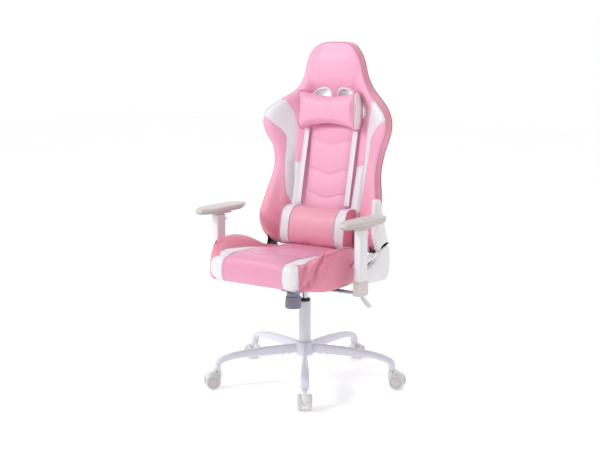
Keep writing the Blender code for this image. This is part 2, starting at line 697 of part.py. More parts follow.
def pillow_mesh(name, half, z_low, z_high, depth, waist, clear):
    """A pillow of sections across X; its rear follows the back's front, and its front swells."""
    rings = []
    for s in (-1.0, -0.96, -0.85, -0.6, -0.3, 0.0, 0.3, 0.6, 0.85, 0.96, 1.0):
        pinch = waist * (1.0 - s * s) + 0.008 * s ** 12
        low, high = z_low + pinch, z_high - pinch
        middle, tall = (low + high) / 2, (high - low) / 2
        swell = depth * (0.88 + 0.12 * (1 - s * s)) - 0.006 * s ** 12
        x = half * s
        ring = []
        for k in range(14):
            a = math.tau * k / 14
            z = middle + tall * math.copysign(abs(math.sin(a)) ** 0.7, math.sin(a))
            rear = min(back_walls(x, z)[0], back_walls(x, middle)[0] + 0.02) - clear
            facing = -math.cos(a)
            share = 0.30 + 0.70 * facing ** 0.6 if facing > 0 else 0.30 + 0.30 * facing
            ring.append(Vector((x, rear - swell * share, z)))
        rings.append(ring)
    return loft(name, rings)


def make_pillows():
    head = pillow_mesh("head_pillow", 0.131, 0.954, 1.099, 0.064, 0.017, 0.009)
    add_object("head_pillow", head, PINK, recline_axis)
    lumbar = pillow_mesh("lumbar_pillow", 0.149, 0.511, 0.660, 0.080, 0.0, 0.003)
    add_object("lumbar_pillow", lumbar, PINK, recline_axis)
    for side, label in ((1, "left"), (-1, "right")):
        rings = []
        for z in (0.664, 0.74, 0.85, 0.949):
            x = side * STRAP_X + STRAP_SHIFT + 0.02 * (z - 0.66)
            y = min(back_walls(x - 0.011, z)[0], back_walls(x + 0.011, z)[0]) - 0.0035
            rings.append([Vector((x + dx, y + dy, z)) for dx, dy in
                          ((-0.011, 0), (0.011, 0), (0.011, -0.002), (-0.011, -0.002))])
        add_object("strap_" + label, loft("strap_" + label, rings), WHITE_LEATHER, recline_axis)


def shell_mesh(name, outline, x_low, x_high, wall=0.003):
    """A moulded cover across X: a rounded outer face with side walls, open towards the seat."""
    rows = [(grown(outline, -wall), x_low), (grown(outline, -wall), x_high - wall)]
    outer = [(outline, x_low), (outline, x_high - 0.004), (grown(outline, -0.004), x_high)]
    bm = bmesh.new()
    inner_rings = [[bm.verts.new((x, y, z)) for y, z in points] for points, x in rows]
    outer_rings = [[bm.verts.new((x, y, z)) for y, z in points] for points, x in outer]
    count = len(outline)
    chain = [inner_rings[1], inner_rings[0]] + outer_rings
    for a, b in zip(chain, chain[1:]):
        for k in range(count):
            m = (k + 1) % count
            bm.faces.new((a[k], a[m], b[m], b[k]))
    bm.faces.new(inner_rings[1])
    bm.faces.new(outer_rings[-1])
    mesh = to_mesh(bm, name)
    smooth(mesh, 40.0)
    return mesh


def make_recliner():
    pivot = (RECLINE_Y, RECLINE_Z)
    for side, label in ((1, "left"), (-1, "right")):
        low, high = sorted(side * x for x in LOWER_BRACKET_X)
        outline = arc(pivot, 0.032, -20, 200, 10) + [(0.058, 0.440), (0.058, 0.4055), (0.142, 0.4055)]
        lower = add_object("recliner_lower_" + label, plate_mesh("recliner_lower", outline, low, high),
                           BLACK_STEEL, tilt_axis)
        inner, outer = sorted((side * 0.110, side * (LOWER_BRACKET_X[0] + 0.002)))
        flange = box_mesh("flange", (inner, 0.060, 0.4060), (outer, 0.086, 0.4103))
        combine(lower, add_cutter("flange_" + label, flange), "UNION")
        low, high = sorted(side * x for x in UPPER_BRACKET_X)
        outline = arc(pivot, 0.036, -180, 0, 10) + [(RECLINE_Y + 0.036, RECLINE_Z + 0.008),
                                                    (RECLINE_Y + 0.025, 0.506), (RECLINE_Y + 0.025, 0.620),
                                                    (RECLINE_Y - 0.025, 0.620), (RECLINE_Y - 0.025, 0.506),
                                                    (RECLINE_Y - 0.036, RECLINE_Z + 0.008)]
        upper = add_object("recliner_upper_" + label, plate_mesh("recliner_upper", outline, low, high),
                           BLACK_STEEL, recline_axis)
        for piece in (lower, upper):
            hole = rod_mesh("rod_hole", (-0.25, *pivot), (0.25, *pivot), 0.0063, 12)
            combine(piece, add_cutter("rod_hole_" + piece.name, hole), "DIFFERENCE")
    rod = rod_mesh("sync_rod", (-0.2420, *pivot), (0.2420, *pivot), 0.006, 12)
    add_object("sync_rod", rod, BLACK_STEEL, tilt_axis)
    make_covers()


def make_covers():
    pivot = (RECLINE_Y, RECLINE_Z)
    low = [(-0.032, 0.412), (0.124, 0.403), (0.140, 0.430), (0.144, 0.476)]
    low += arc(pivot, 0.058, 50, 138, 6) + [(0.052, 0.517), (0.040, 0.490), (0.006, 0.476), (-0.032, 0.464)]
    shell = shell_mesh("recliner_cover_lower", rounded(low, 0.006, 1), *COVER_X)
    add_object("recliner_cover_lower", shell, WHITE_PLASTIC, tilt_axis)
    high = arc(pivot, 0.062, 80, 140, 4) + [(0.030, 0.580), (0.033, 0.650), (0.038, 0.716), (0.074, 0.712),
                                           (0.090, 0.640), (0.112, 0.570)]
    shell = shell_mesh("recliner_cover_upper", rounded(high, 0.008, 1), *COVER_X)
    add_object("recliner_cover_upper", shell, WHITE_PLASTIC, recline_axis)
    hub = (0.018, 0.508)
    release_axis = axis_empty("recline_lever_axis", (COVER_X[0], *hub), tilt_axis)
    outline = arc(hub, 0.014, 60, -70, 6) + [(-0.028, 0.482), (-0.098, 0.480), (-0.106, 0.488),
                                            (-0.098, 0.496), (-0.028, 0.502), (0.006, 0.516)]
    lever = plate_mesh("recline_lever", outline, COVER_X[0], COVER_X[0] + 0.014)
    add_object("recline_lever", lever, WHITE_PLASTIC, release_axis)


def pad_outline(x):
    """An arm pad seen from above: straight sides, with ends that taper to a blunt point."""
    half, long = 0.044, PAD_LENGTH / 2
    points = [(x + half, PAD_Y - long * 0.60), (x + half, PAD_Y + long * 0.60),
              (x + half * 0.35, PAD_Y + long), (x - half * 0.35, PAD_Y + long),
              (x - half, PAD_Y + long * 0.60), (x - half, PAD_Y - long * 0.60),
              (x - half * 0.35, PAD_Y - long), (x + half * 0.35, PAD_Y - long)]
    return rounded(points, 0.014, 2)


def pad_mesh(x):
    """A pad with a level top, a deep chamfer round it and a narrower underside."""
    outline = pad_outline(x)
    rows = [(-0.010, PAD_Z[0]), (0.0, PAD_Z[0] + 0.008), (0.0, PAD_Z[1] - 0.008), (-0.004, PAD_Z[1] - 0.002),
            (-0.008, PAD_Z[1])]
    return loft("arm_pad", [[Vector((px, py, z)) for px, py in grown(outline, off)] for off, z in rows])


def make_arm(side, label):
    x = side * ARM_X
    wide, deep = 0.014, 0.025
    foot_wide, foot_deep = 0.0175, 0.0285
    slide_axis = axis_empty("arm_slide_axis_" + label, (x, ARM_Y, SLEEVE_TOP_Z), tilt_axis)
    turn_axis = axis_empty("arm_turn_axis_" + label, (x, ARM_Y, PAD_Z[0]), slide_axis)
    # Steel bar from under the seat to the foot, and up inside the sleeve
    inner, outer = sorted((side * 0.100, x + side * 0.009))
    bar = box_mesh("arm_bracket", (inner, ARM_Y - 0.019, 0.3960), (outer, ARM_Y + 0.019, 0.4015))
    bar = add_object("arm_bracket_" + label, bar, WHITE_PAINT, tilt_axis)
    upright = box_mesh("arm_upright", (x - 0.0085, ARM_Y - 0.019, 0.3980), (x + 0.0085, ARM_Y + 0.019, 0.440))
    combine(bar, add_cutter("arm_upright_" + label, upright), "UNION")
    near, far = sorted((side * 0.100, side * 0.170))
    spacer = box_mesh("arm_spacer", (near, ARM_Y - 0.017, 0.4000), (far, ARM_Y + 0.017, PAN_Z[0] - GAP))
    combine(bar, add_cutter("arm_spacer_" + label, spacer), "UNION")
    # Outer sleeve with its wider foot, open at the top
    sleeve = box_mesh("arm_sleeve", (x - wide, ARM_Y - deep, ARM_FOOT_Z[0]),
                      (x + wide, ARM_Y + deep, SLEEVE_TOP_Z), 0.003, 2)
    sleeve = add_object("arm_sleeve_" + label, sleeve, WHITE_PLASTIC, tilt_axis)
    foot = box_mesh("arm_foot", (x - foot_wide, ARM_Y - foot_deep, ARM_FOOT_Z[0] - 0.011),
                    (x + foot_wide, ARM_Y + foot_deep, ARM_FOOT_Z[1]), 0.003, 2)
    combine(sleeve, add_cutter("arm_foot_" + label, foot), "UNION")
    bore = box_mesh("arm_bore", (x - 0.0108, ARM_Y - 0.0218, 0.445), (x + 0.0108, ARM_Y + 0.0218, 0.7))
    combine(sleeve, add_cutter("arm_bore_" + label, bore), "DIFFERENCE")
    low, high = sorted((side * 0.25, x + side * 0.0095))
    slot = box_mesh("arm_slot", (low, ARM_Y - 0.0195, 0.30), (high, ARM_Y + 0.0195, 0.4020))
    combine(sleeve, add_cutter("arm_slot_" + label, slot), "DIFFERENCE")
    socket = box_mesh("arm_socket", (x - 0.0090, ARM_Y - 0.0195, 0.30), (x + 0.0090, ARM_Y + 0.0195, 0.450))
    combine(sleeve, add_cutter("arm_socket_" + label, socket), "DIFFERENCE")
    button_y = ARM_Y + deep
    notch = box_mesh("arm_notch", (x - 0.0080, ARM_Y + 0.015, 0.6040), (x + 0.0080, button_y + 0.02, 0.6225))
    combine(sleeve, add_cutter("arm_notch_" + label, notch), "DIFFERENCE")
    # Inner column with the pad's base on its top
    column = box_mesh("arm_column", (x - 0.0105, ARM_Y - 0.0215, 0.452), (x + 0.0105, ARM_Y + 0.0215, 0.6345))
    column = add_object("arm_column_" + label, column, PALE_PLASTIC, slide_axis)
    groove = box_mesh("arm_groove", (x - 0.0085, ARM_Y + 0.0135, 0.40), (x + 0.0085, ARM_Y + 0.03, 0.6265))
    combine(column, add_cutter("arm_groove_" + label, groove), "DIFFERENCE")
    base = box_mesh("arm_pad_base", (x - 0.026, ARM_Y - 0.050, 0.6350), (x + 0.026, ARM_Y + 0.050, 0.6415),
                    0.002, 1)
    add_object("arm_pad_base_" + label, base, PALE_PLASTIC, turn_axis)
    add_object("arm_pad_" + label, pad_mesh(x), PALE_PLASTIC, turn_axis)
    # Height button in the sleeve's rear face
    press_axis = axis_empty("arm_button_axis_" + label, (x, button_y, 0.613), tilt_axis)
    button = box_mesh("arm_button", (x - 0.0075, ARM_Y + 0.0175, 0.6050),
                      (x + 0.0075, button_y + 0.006, 0.6215),
                      0.0015, 1)
    add_object("arm_button_" + label, button, WHITE_PLASTIC, press_axis)


make_hub()
make_legs()
make_column()
make_casters()
make_mechanism()
make_seat()
make_back()
make_pillows()
make_recliner()
for arm_side, arm_label in ((1, "left"), (-1, "right")):
    make_arm(arm_side, arm_label)
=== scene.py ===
"""Looks for the gaming chair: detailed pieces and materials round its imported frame."""
import math
import bmesh
import bpy
import numpy as np
from mathutils import Matrix, Vector
from mathutils.geometry import delaunay_2d_cdt


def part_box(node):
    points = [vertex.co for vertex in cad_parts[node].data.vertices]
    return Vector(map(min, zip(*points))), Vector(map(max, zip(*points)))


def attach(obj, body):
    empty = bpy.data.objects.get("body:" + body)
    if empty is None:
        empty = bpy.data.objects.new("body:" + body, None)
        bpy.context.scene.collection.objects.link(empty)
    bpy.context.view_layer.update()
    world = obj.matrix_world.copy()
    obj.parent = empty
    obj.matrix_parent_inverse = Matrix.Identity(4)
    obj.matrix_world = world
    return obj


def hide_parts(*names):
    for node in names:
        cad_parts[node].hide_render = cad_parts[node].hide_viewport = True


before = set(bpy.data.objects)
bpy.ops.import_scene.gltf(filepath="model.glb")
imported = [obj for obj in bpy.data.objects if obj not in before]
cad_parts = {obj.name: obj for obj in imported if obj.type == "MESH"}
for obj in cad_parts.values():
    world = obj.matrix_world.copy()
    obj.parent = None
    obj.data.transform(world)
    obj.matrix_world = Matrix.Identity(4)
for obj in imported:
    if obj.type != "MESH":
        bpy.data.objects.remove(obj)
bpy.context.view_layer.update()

scene = bpy.context.scene
COLUMN_Y = -0.0265                                   # the column's axis
COLUMN = Matrix.Translation((0, COLUMN_Y, 0))
SIDES = ((1, "left"), (-1, "right"))


# ---------------------------------------------------------------- camera and light
def make_camera():
    turn, pitch, pan = 0.5912, 0.1603, -0.0046       # radians: round the column, down, and to the side
    distance, height, lens = 3.981, 1.2452, 64.19
    right = Vector((math.cos(turn), math.sin(turn), 0))
    ahead = Vector((-math.sin(turn), math.cos(turn), 0))
    level = math.cos(pan) * ahead + math.sin(pan) * right
    side = math.cos(pan) * right - math.sin(pan) * ahead
    view = math.cos(pitch) * level - math.sin(pitch) * Vector((0, 0, 1))
    up = side.cross(view)
    data = bpy.data.cameras.new("camera")
    data.sensor_width, data.lens = 36.0, lens
    camera = bpy.data.objects.new("camera", data)
    scene.collection.objects.link(camera)
    facing = Matrix((side, up, -view)).transposed().to_4x4()
    camera.matrix_world = Matrix.Translation(Vector((0, COLUMN_Y, height)) - ahead * distance) @ facing
    scene.camera = camera


def area_light(name, place, aim, size, power):
    data = bpy.data.lights.new(name, "AREA")
    data.shape, data.size, data.energy = "DISK", size, power
    lamp = bpy.data.objects.new(name, data)
    scene.collection.objects.link(lamp)
    lamp.location = place
    lamp.rotation_euler = (Vector(aim) - Vector(place)).to_track_quat("-Z", "Y").to_euler()


def make_world():
    """A white studio that is dimmer towards its front right."""
    bright_way, dim_range = (-0.5, 0.82, -0.26), (-0.6, 0.48, 0.64, 1.0)
    world = bpy.data.worlds.new("studio")
    scene.world = world
    world.use_nodes = True
    nodes, links = world.node_tree.nodes, world.node_tree.links
    way = nodes.new("ShaderNodeVectorMath")
    way.operation = "DOT_PRODUCT"
    way.inputs[1].default_value = bright_way
    links.new(nodes.new("ShaderNodeTexCoord").outputs["Generated"], way.inputs[0])
    dim = nodes.new("ShaderNodeMapRange")
    for socket, value in zip(dim.inputs[1:5], dim_range):
        socket.default_value = value
    links.new(way.outputs["Value"], dim.inputs["Value"])
    links.new(dim.outputs["Result"], nodes["Background"].inputs["Strength"])
    nodes["Background"].inputs["Color"].default_value = (1.0, 1.0, 1.0, 1)


make_camera()
scene.view_settings.view_transform = "Standard"
scene.view_settings.look = "None"
make_world()
area_light("key", (-1.9, -2.7, 2.6), (0, 0, 0.75), 1.1, 56)
area_light("top", (0.2, 0.3, 3.4), (0, 0, 0.5), 2.0, 10)
area_light("rear", (-1.6, 3.0, 1.8), (0, 0, 0.7), 2.0, 8)


# ---------------------------------------------------------------- materials
def rgb(text):
    """The linear colour of a hex sRGB colour."""
    parts = [int(text[i:i + 2], 16) / 255 for i in (0, 2, 4)]
    return [c / 12.92 if c <= 0.04045 else ((c + 0.055) / 1.055) ** 2.4 for c in parts] + [1.0]


def shade(colour, by):
    return [min(1.0, c * by) for c in colour[:3]] + [1.0]


class Shader:
    """A small builder for one material's nodes."""

    def __init__(self, name):
        self.mat = bpy.data.materials.new(name)
        self.mat.use_nodes = True
        self.nodes, self.links = self.mat.node_tree.nodes, self.mat.node_tree.links
        self.out = self.nodes["Principled BSDF"]
        self.place = self.nodes.new("ShaderNodeTexCoord").outputs["Object"]
        self.bump = None

    def feed(self, socket, value):
        if isinstance(value, bpy.types.NodeSocket):
            self.links.new(value, socket)
        else:
            socket.default_value = value

    def node(self, kind, **sockets):
        made = self.nodes.new("ShaderNode" + kind)
        for key, value in sockets.items():
            self.feed(made.inputs[key.replace("_", " ")], value)
        return made

    def noise(self, scale, detail=3.0):
        made = self.node("TexNoise", Vector=self.place, Scale=scale, Detail=detail, Roughness=0.55)
        return made.outputs["Fac"]

    def cells(self, scale):
        made = self.node("TexVoronoi", Vector=self.place, Scale=scale)
        made.feature = "DISTANCE_TO_EDGE"
        return made.outputs["Distance"]

    def wave(self, direction, **sockets):
        made = self.node("TexWave", Vector=self.place, **sockets)
        made.bands_direction = direction
        return made.outputs["Fac"]

    def span(self, value, low, high, start=0.3, end=0.7):
        """value, from start to end, spread over low to high."""
        made = self.node("MapRange", Value=value)
        for socket, number in zip(made.inputs[1:5], (start, end, low, high)):
            socket.default_value = number
        return made.outputs["Result"]

    def blend(self, share, dark, light):
        made = self.nodes.new("ShaderNodeMix")
        made.data_type = "RGBA"
        for index, value in ((0, share), (6, dark), (7, light)):    # the factor and the two colours
            self.feed(made.inputs[index], value)
        return made.outputs[2]

    def emboss(self, height, distance, strength):
        """One more layer of bump over those made before it."""
        made = self.node("Bump", Height=height, Distance=distance, Strength=strength)
        if self.bump is not None:
            self.links.new(self.bump, made.inputs["Normal"])
        self.bump = made.outputs["Normal"]

    def finish(self, colour, rough, **settings):
        self.feed(self.out.inputs["Base Color"], colour)
        self.feed(self.out.inputs["Roughness"], rough)
        if self.bump is not None:
            self.links.new(self.bump, self.out.inputs["Normal"])
        for key, value in settings.items():
            self.out.inputs[key.replace("_", " ")].default_value = value
        return self.mat


def leatherette(name, colour, rough=0.37, grain=950, depth=0.00022, low=None):
    """Coated fabric: fine grain, soft wrinkles and a drift of colour and gloss; low tints its foot with a
    painted shade.
    """
    s, colour = Shader(name), rgb(colour)
    tint = s.blend(s.span(s.noise(9.0, 4.0), 0, 1), shade(colour, 0.965), shade(colour, 1.025))
    if low:
        # painted shade: the colour low fills the panel below 0.54 m up and fades out by 0.8 m
        up = s.node("SeparateXYZ", Vector=s.place).outputs["Z"]
        tint = s.blend(s.span(up, 0, 1, 0.54, 0.8), rgb(low), tint)
    valleys = s.blend(s.noise(60), shade(colour, 0.9), shade(colour, 0.94))
    tint = s.blend(s.span(s.cells(grain), 0, 1, 0.0, 0.16), valleys, tint)
    s.emboss(s.noise(34.0), 0.0011, 0.2)
    s.emboss(s.span(s.cells(grain), 0, 1, 0.0, 0.22), depth, 0.55)
    gloss = s.span(s.noise(22.0, 4.0), rough - 0.05, rough + 0.07)
    return s.finish(tint, gloss, Sheen_Weight=0.05, Specular_IOR_Level=0.5, Coat_Weight=0.1,
                    Coat_Roughness=0.28)


def moulded(name, colour, rough=0.42, texture=1500, depth=0.00005):
    """Moulded plastic: a fine spark-eroded texture and a slow variation in gloss."""
    s, colour = Shader(name), rgb(colour)
    tint = s.blend(s.span(s.noise(7.0), 0, 1), shade(colour, 0.97), shade(colour, 1.02))
    s.emboss(s.noise(texture, 2.0), depth, 0.5)
    s.emboss(s.noise(30.0, 2.0), 0.0003, 0.12)
    return s.finish(tint, s.span(s.noise(40.0), rough - 0.05, rough + 0.06))


def painted(name, colour, rough=0.3):
    """Powder coat over steel: orange peel, and slightly duller patches."""
    s, colour = Shader(name), rgb(colour)
    tint = s.blend(s.span(s.noise(12.0), 0, 1), shade(colour, 0.975), shade(colour, 1.015))
    s.emboss(s.noise(420.0, 2.0), 0.00012, 0.45)
    gloss = s.span(s.noise(25.0, 4.0), rough - 0.04, rough + 0.08)
    return s.finish(tint, gloss, Coat_Weight=0.25, Coat_Roughness=0.18)


def plated(name, colour, rough=0.16):
    """Ground and plated steel, with fine rings from grinding."""
    s, colour = Shader(name), rgb(colour)
    s.emboss(s.wave("Z", Scale=260.0, Distortion=0.6, Detail=2.0), 0.00002, 0.35)
    tint = s.blend(s.noise(18), shade(colour, 0.92), colour)
    return s.finish(tint, s.span(s.noise(50), rough - 0.04, rough + 0.08), Metallic=1.0)


def knitted(name, colour, pitch, depth, rough, holes):
    """Webbing or spacer mesh: crossing ribs along Z and across it; holes is the painted shade between the
    ribs.
    """
    s, colour = Shader(name), rgb(colour)
    crossing = s.node("Math")
    crossing.operation = "MULTIPLY"
    for socket, direction in zip(crossing.inputs, "XZ"):
        s.links.new(s.wave(direction, Scale=pitch, Distortion=0.15, Detail=1.0), socket)
    weave = crossing.outputs[0]
    # painted shade: a darker colour between the ribs
    tint = s.blend(s.span(weave, 0, 1, 0.05, 0.5), shade(colour, holes), colour)
    tint = s.blend(s.span(s.noise(30), 0, 0.25), tint, shade(colour, 0.93))
    s.emboss(weave, depth, 0.6)
    return s.finish(tint, s.span(s.noise(80), rough - 0.06, rough + 0.06), Sheen_Weight=0.2)


PINK = leatherette("pink_leatherette", "f3acca")
# painted shade: the seat's pink is a darker copy of the back's pink, because the seat's top faces the bright
# top light
SHADED_SEAT_PINK = leatherette("pink_leatherette_seat_painted_shade", "e69aba")
LUMBAR_PINK = leatherette("pink_leatherette_lumbar", "eda3b7")
# the wing's foot, where it turns towards the lumbar pillow, carries a painted shade in coral
WING_PINK = leatherette("pink_leatherette_wing", "f1aac7", low="ef8a9c")
# painted shade: a darker coral copy of the pink for sides, walls and corners that face away from the light,
# the lumbar pillow's end gussets and the head pillow's piping
SHADED_PINK = leatherette("pink_leatherette_side_painted_shade", "e88ba3")
WHITE = leatherette("white_leatherette", "e9e6ea", 0.4)
PIPING = leatherette("piping_mauve", "b5768f", 0.45, 1400, 0.0001)
GREY_PIPING = leatherette("piping_grey", "cdb8c6", 0.45, 1400, 0.0001)
THREAD = leatherette("thread_pink", "e58fb2", 0.6, 2600, 0.0001)
PALE_THREAD = leatherette("thread_white", "dcd6dc", 0.6, 2600, 0.0001)
MESH = knitted("spacer_mesh", "fbf3f2", 95.0, 0.0004, 0.8, 0.86)
WEBBING = knitted("strap_webbing", "f2eef2", 150.0, 0.0003, 0.62, 0.86)
DUST_COVER = knitted("dust_cover", "2b2a2e", 240.0, 0.0001, 0.85, 0.7)
WHITE_PLASTIC = moulded("white_plastic", "ebe8ec", 0.36)
PALE_PLASTIC = moulded("pale_grey_plastic", "cdc7c4", 0.5, 1100, 0.00009)
DISC_PLASTIC = moulded("caster_disc_plastic", "cfc9c7", 0.45)
TREAD = moulded("tread_plastic", "d8d5d6", 0.55)
KNOB_PLASTIC = moulded("knob_plastic", "8f8b9c", 0.45)
PAD_UNDER = moulded("pad_shell_plastic", "b3adaa", 0.5, 1100, 0.00009)
FOOT_PLASTIC = moulded("arm_foot_plastic", "d8cfcd")
BLACK_PLASTIC = moulded("black_plastic", "141416", 0.38)
PAINT = painted("white_paint", "dfdde8")
MAUVE_PAINT = painted("mechanism_paint", "9d99aa", 0.38)
BLACK_STEEL = moulded("black_steel", "0c0c0e", 0.5)
CHROME = plated("chromed_steel", "c9cbd2")
SLOTS = {
    "pink_leatherette": (PINK, SHADED_SEAT_PINK, LUMBAR_PINK, WING_PINK, SHADED_PINK, PIPING, THREAD),
    "white_leatherette": (WHITE, GREY_PIPING, PALE_THREAD, MESH, WEBBING),
    "white_plastic": (WHITE_PLASTIC, DISC_PLASTIC, TREAD, FOOT_PLASTIC),
    "pale_grey_plastic": (PALE_PLASTIC, KNOB_PLASTIC, PAD_UNDER),
    "white_paint": (PAINT, MAUVE_PAINT),
    "black_steel": (BLACK_STEEL, DUST_COVER),
    "black_plastic": (BLACK_PLASTIC,),
    "chromed_steel": (CHROME,)}
SLOT_OF = {mat.name: slot for slot, mats in SLOTS.items() for mat in mats}


# ---------------------------------------------------------------- building helpers
def add(name, verts, faces, mats, picks, sharp=None):
    """A new mesh object. picks gives each face's place in mats; edges over sharp degrees stay crisp."""
    mesh = bpy.data.meshes.new(name)
    mesh.from_pydata([tuple(v) for v in verts], [], [tuple(f) for f in faces])
    for mat in mats:
        mesh.materials.append(mat)
    mesh.polygons.foreach_set("material_index", [int(p) for p in picks])
    clean(mesh)
    mesh.polygons.foreach_set("use_smooth", [True] * len(mesh.polygons))
    if sharp is not None:
        mesh.set_sharp_from_angle(angle=math.radians(sharp))
    thing = bpy.data.objects.new(name, mesh)
    scene.collection.objects.link(thing)
    return thing


def clean(mesh, weld=None):
    """Turns the faces outwards, after welding points nearer than weld."""
    bm = bmesh.new()
    bm.from_mesh(mesh)
    if weld:
        bmesh.ops.remove_doubles(bm, verts=bm.verts, dist=weld)
    bmesh.ops.recalc_face_normals(bm, faces=bm.faces)
    bm.to_mesh(mesh)
    bm.free()


def settle(thing, body, mat, *nodes):
    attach(thing, body)
    if nodes:
        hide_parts(*nodes)


def loft(rings, caps=True):
    """Vertices and quads of a skin over closed rings that hold the same number of points."""
    count = len(rings[0])
    verts = [p for ring in rings for p in ring]
    faces = []
    for low in range(0, (len(rings) - 1) * count, count):
        for k in range(count):
            m = (k + 1) % count
            faces.append((low + k, low + m, low + count + m, low + count + k))
    if caps:
        faces += [list(reversed(range(count))), list(range(len(verts) - count, len(verts)))]
    return verts, faces


def hoop(rings):
    """The skin over rings whose last one joins the first."""
    verts, faces = loft(rings + [rings[0]], caps=False)
    size = len(verts) - len(rings[0])
    return verts[:size], [[i % size for i in f] for f in faces]


def tube(path, radius, sides=8, closed=False):
    """A round tube along points; radius is one number or one for each point."""
    points = [Vector(p) for p in path]
    count = len(points)
    radii = radius if isinstance(radius, (list, tuple)) else [radius] * count
    rings = []
    normal = None
    for i, point in enumerate(points):
        before = points[(i - 1) % count] if closed or i else point
        after = points[(i + 1) % count] if closed or i < count - 1 else point
        along = (after - before).normalized()
        if normal is None:
            normal = along.orthogonal().normalized()
        normal = (normal - along * normal.dot(along)).normalized()
        other = along.cross(normal)
        rings.append([point + (normal * c + other * s) * radii[i] for c, s in circle(sides)])
    return hoop(rings) if closed else loft(rings)


def circle(sides):
    """The cosines and sines of a circle's even steps."""
    return [(math.cos(math.tau * k / sides), math.sin(math.tau * k / sides)) for k in range(sides)]


def turned(profile, sides, place):
    """A solid turned about Z from (radius, height) points; it closes on the axis or on itself."""
    verts, index = [], []
    for r, z in profile:
        spots = circle(sides) if r > 1e-6 else [(0, 0)]
        index.append([len(verts) + k % len(spots) for k in range(sides)])
        verts += [place @ Vector((r * c, r * s, z)) for c, s in spots]
    if profile[0][0] > 1e-6:
        index.append(index[0])
    faces = []
    for low, high in zip(index, index[1:]):
        for k in range(sides):
            m = (k + 1) % sides
            face = list(dict.fromkeys((low[k], low[m], high[m], high[k])))
            if len(face) > 2:
                faces.append(face)
    return verts, faces


def on_plan(a, b, z):
    return Vector((a, b, z))


def on_side(a, b, x):
    return Vector((x, a, b))


def on_front(a, b, y):
    return Vector((a, y, b))


class Build:
    """Closed bodies gathered into one mesh piece. pick is a body's place among the piece's materials."""

    def __init__(self):
        self.verts, self.faces, self.picks = [], [], []

    def put(self, verts, faces, pick=0):
        base = len(self.verts)
        self.verts += [Vector(v) for v in verts]
        self.faces += [[base + i for i in f] for f in faces]
        self.picks += [pick] * len(faces) if isinstance(pick, int) else list(pick)
        return self

    def tube(self, path, radius, sides=8, closed=False, pick=0):
        return self.put(*tube(path, radius, sides, closed), pick)

    def turned(self, profile, sides, place=COLUMN, pick=0):
        return self.put(*turned(profile, sides, place), pick)

    def slab(self, outline, levels, lift, pick=0):
        """A body from a closed outline: levels are (growth, height), and lift places (a, b, height)."""
        rings = [[lift(a, b, height) for a, b in grown(outline, by)] for by, height in levels]
        return self.put(*loft(rings), pick)

    def bolt(self, radius, height, place, pick=0):
        """A hexagon bolt head on a washer, standing on the XY plane of place."""
        washer = [(0, 0), (radius * 1.45, 0), (radius * 1.5, .0005), (radius * 1.42, .0011), (0, .0011)]
        self.turned(washer, 24, place, pick)
        corners = [(radius * c, radius * s) for c, s in circle(6)]
        levels = [(-.0002, .001), (0, .0013), (0, height - .0007), (-.0009, height)]
        return self.slab(corners, levels, lambda a, b, z: place @ Vector((a, b, z)), pick)

    def piece(self, name, mats, body, *nodes, sharp=40):
        thing = add(name, self.verts, self.faces, mats, self.picks, sharp)
        settle(thing, body, mats[0], *nodes)
        return thing


def facing_down(x, y, z):
    return Matrix.Translation((x, y, z)) @ Matrix.Rotation(math.pi, 4, "X")


def facing_out(x, y, z, side=1):
    """A place whose Z axis points along the world's X, to one side."""
    return Matrix.Translation((x, y, z)) @ Matrix.Rotation(side * math.pi / 2, 4, "Y")


def rounded(points, radius, steps=4):
    """A closed outline with each corner replaced by a short curve; radius may be one for each corner."""
    result = []
    count = len(points)
    for i in range(count):
        before, corner, after = (Vector(points[(i + k) % count]) for k in (-1, 0, 1))
        a, b = before - corner, after - corner
        want = radius[i] if isinstance(radius, (list, tuple)) else radius
        reach = min(want, a.length * 0.48, b.length * 0.48)
        start, end = corner + a.normalized() * reach, corner + b.normalized() * reach
        for k in range(steps + 1):
            t = k / steps
            result.append(tuple(start * (1 - t) ** 2 + corner * 2 * t * (1 - t) + end * t ** 2))
    return result


def block(x, y, half_x, half_y, radius, steps=5):
    """A rounded rectangle about a middle."""
    return rounded([(x - half_x, y - half_y), (x + half_x, y - half_y), (x + half_x, y + half_y),
                    (x - half_x, y + half_y)], radius, steps)


def arc(centre, radius, start, end, steps):
    angles = [math.radians(start + (end - start) * k / steps) for k in range(steps + 1)]
    return [(centre[0] + radius * math.cos(a), centre[1] + radius * math.sin(a)) for a in angles]


def grown(outline, by):
    """A closed outline moved outwards; by may be one distance for each point."""
    count = len(outline)
    area = sum(p[0] * q[1] - q[0] * p[1] for p, q in zip(outline, outline[1:] + outline[:1]))
    turn = 1 if area > 0 else -1
    result = []
    for i in range(count):
        a, p, b = (Vector(outline[(i + k) % count]) for k in (-1, 0, 1))
        u, v = (p - a), (b - p)
        u = u.normalized() if u.length > 1e-9 else v.normalized()
        v = v.normalized() if v.length > 1e-9 else u
        n = Vector((u.y + v.y, -u.x - v.x)) * turn
        n = n.normalized() if n.length > 1e-9 else Vector((0, 0))
        share = max(0.45, n.dot(Vector((u.y, -u.x)) * turn))
        step = by[i] if isinstance(by, (list, tuple)) else by
        result.append(tuple(p + n * step / share))
    return result


def squarer(wave, power):
    """A sine or cosine, pushed towards a square wave."""
    return math.copysign(abs(wave) ** power, wave)


def smoothstep(t):
    t = min(1.0, max(0.0, t))
    return t * t * (3 - 2 * t)


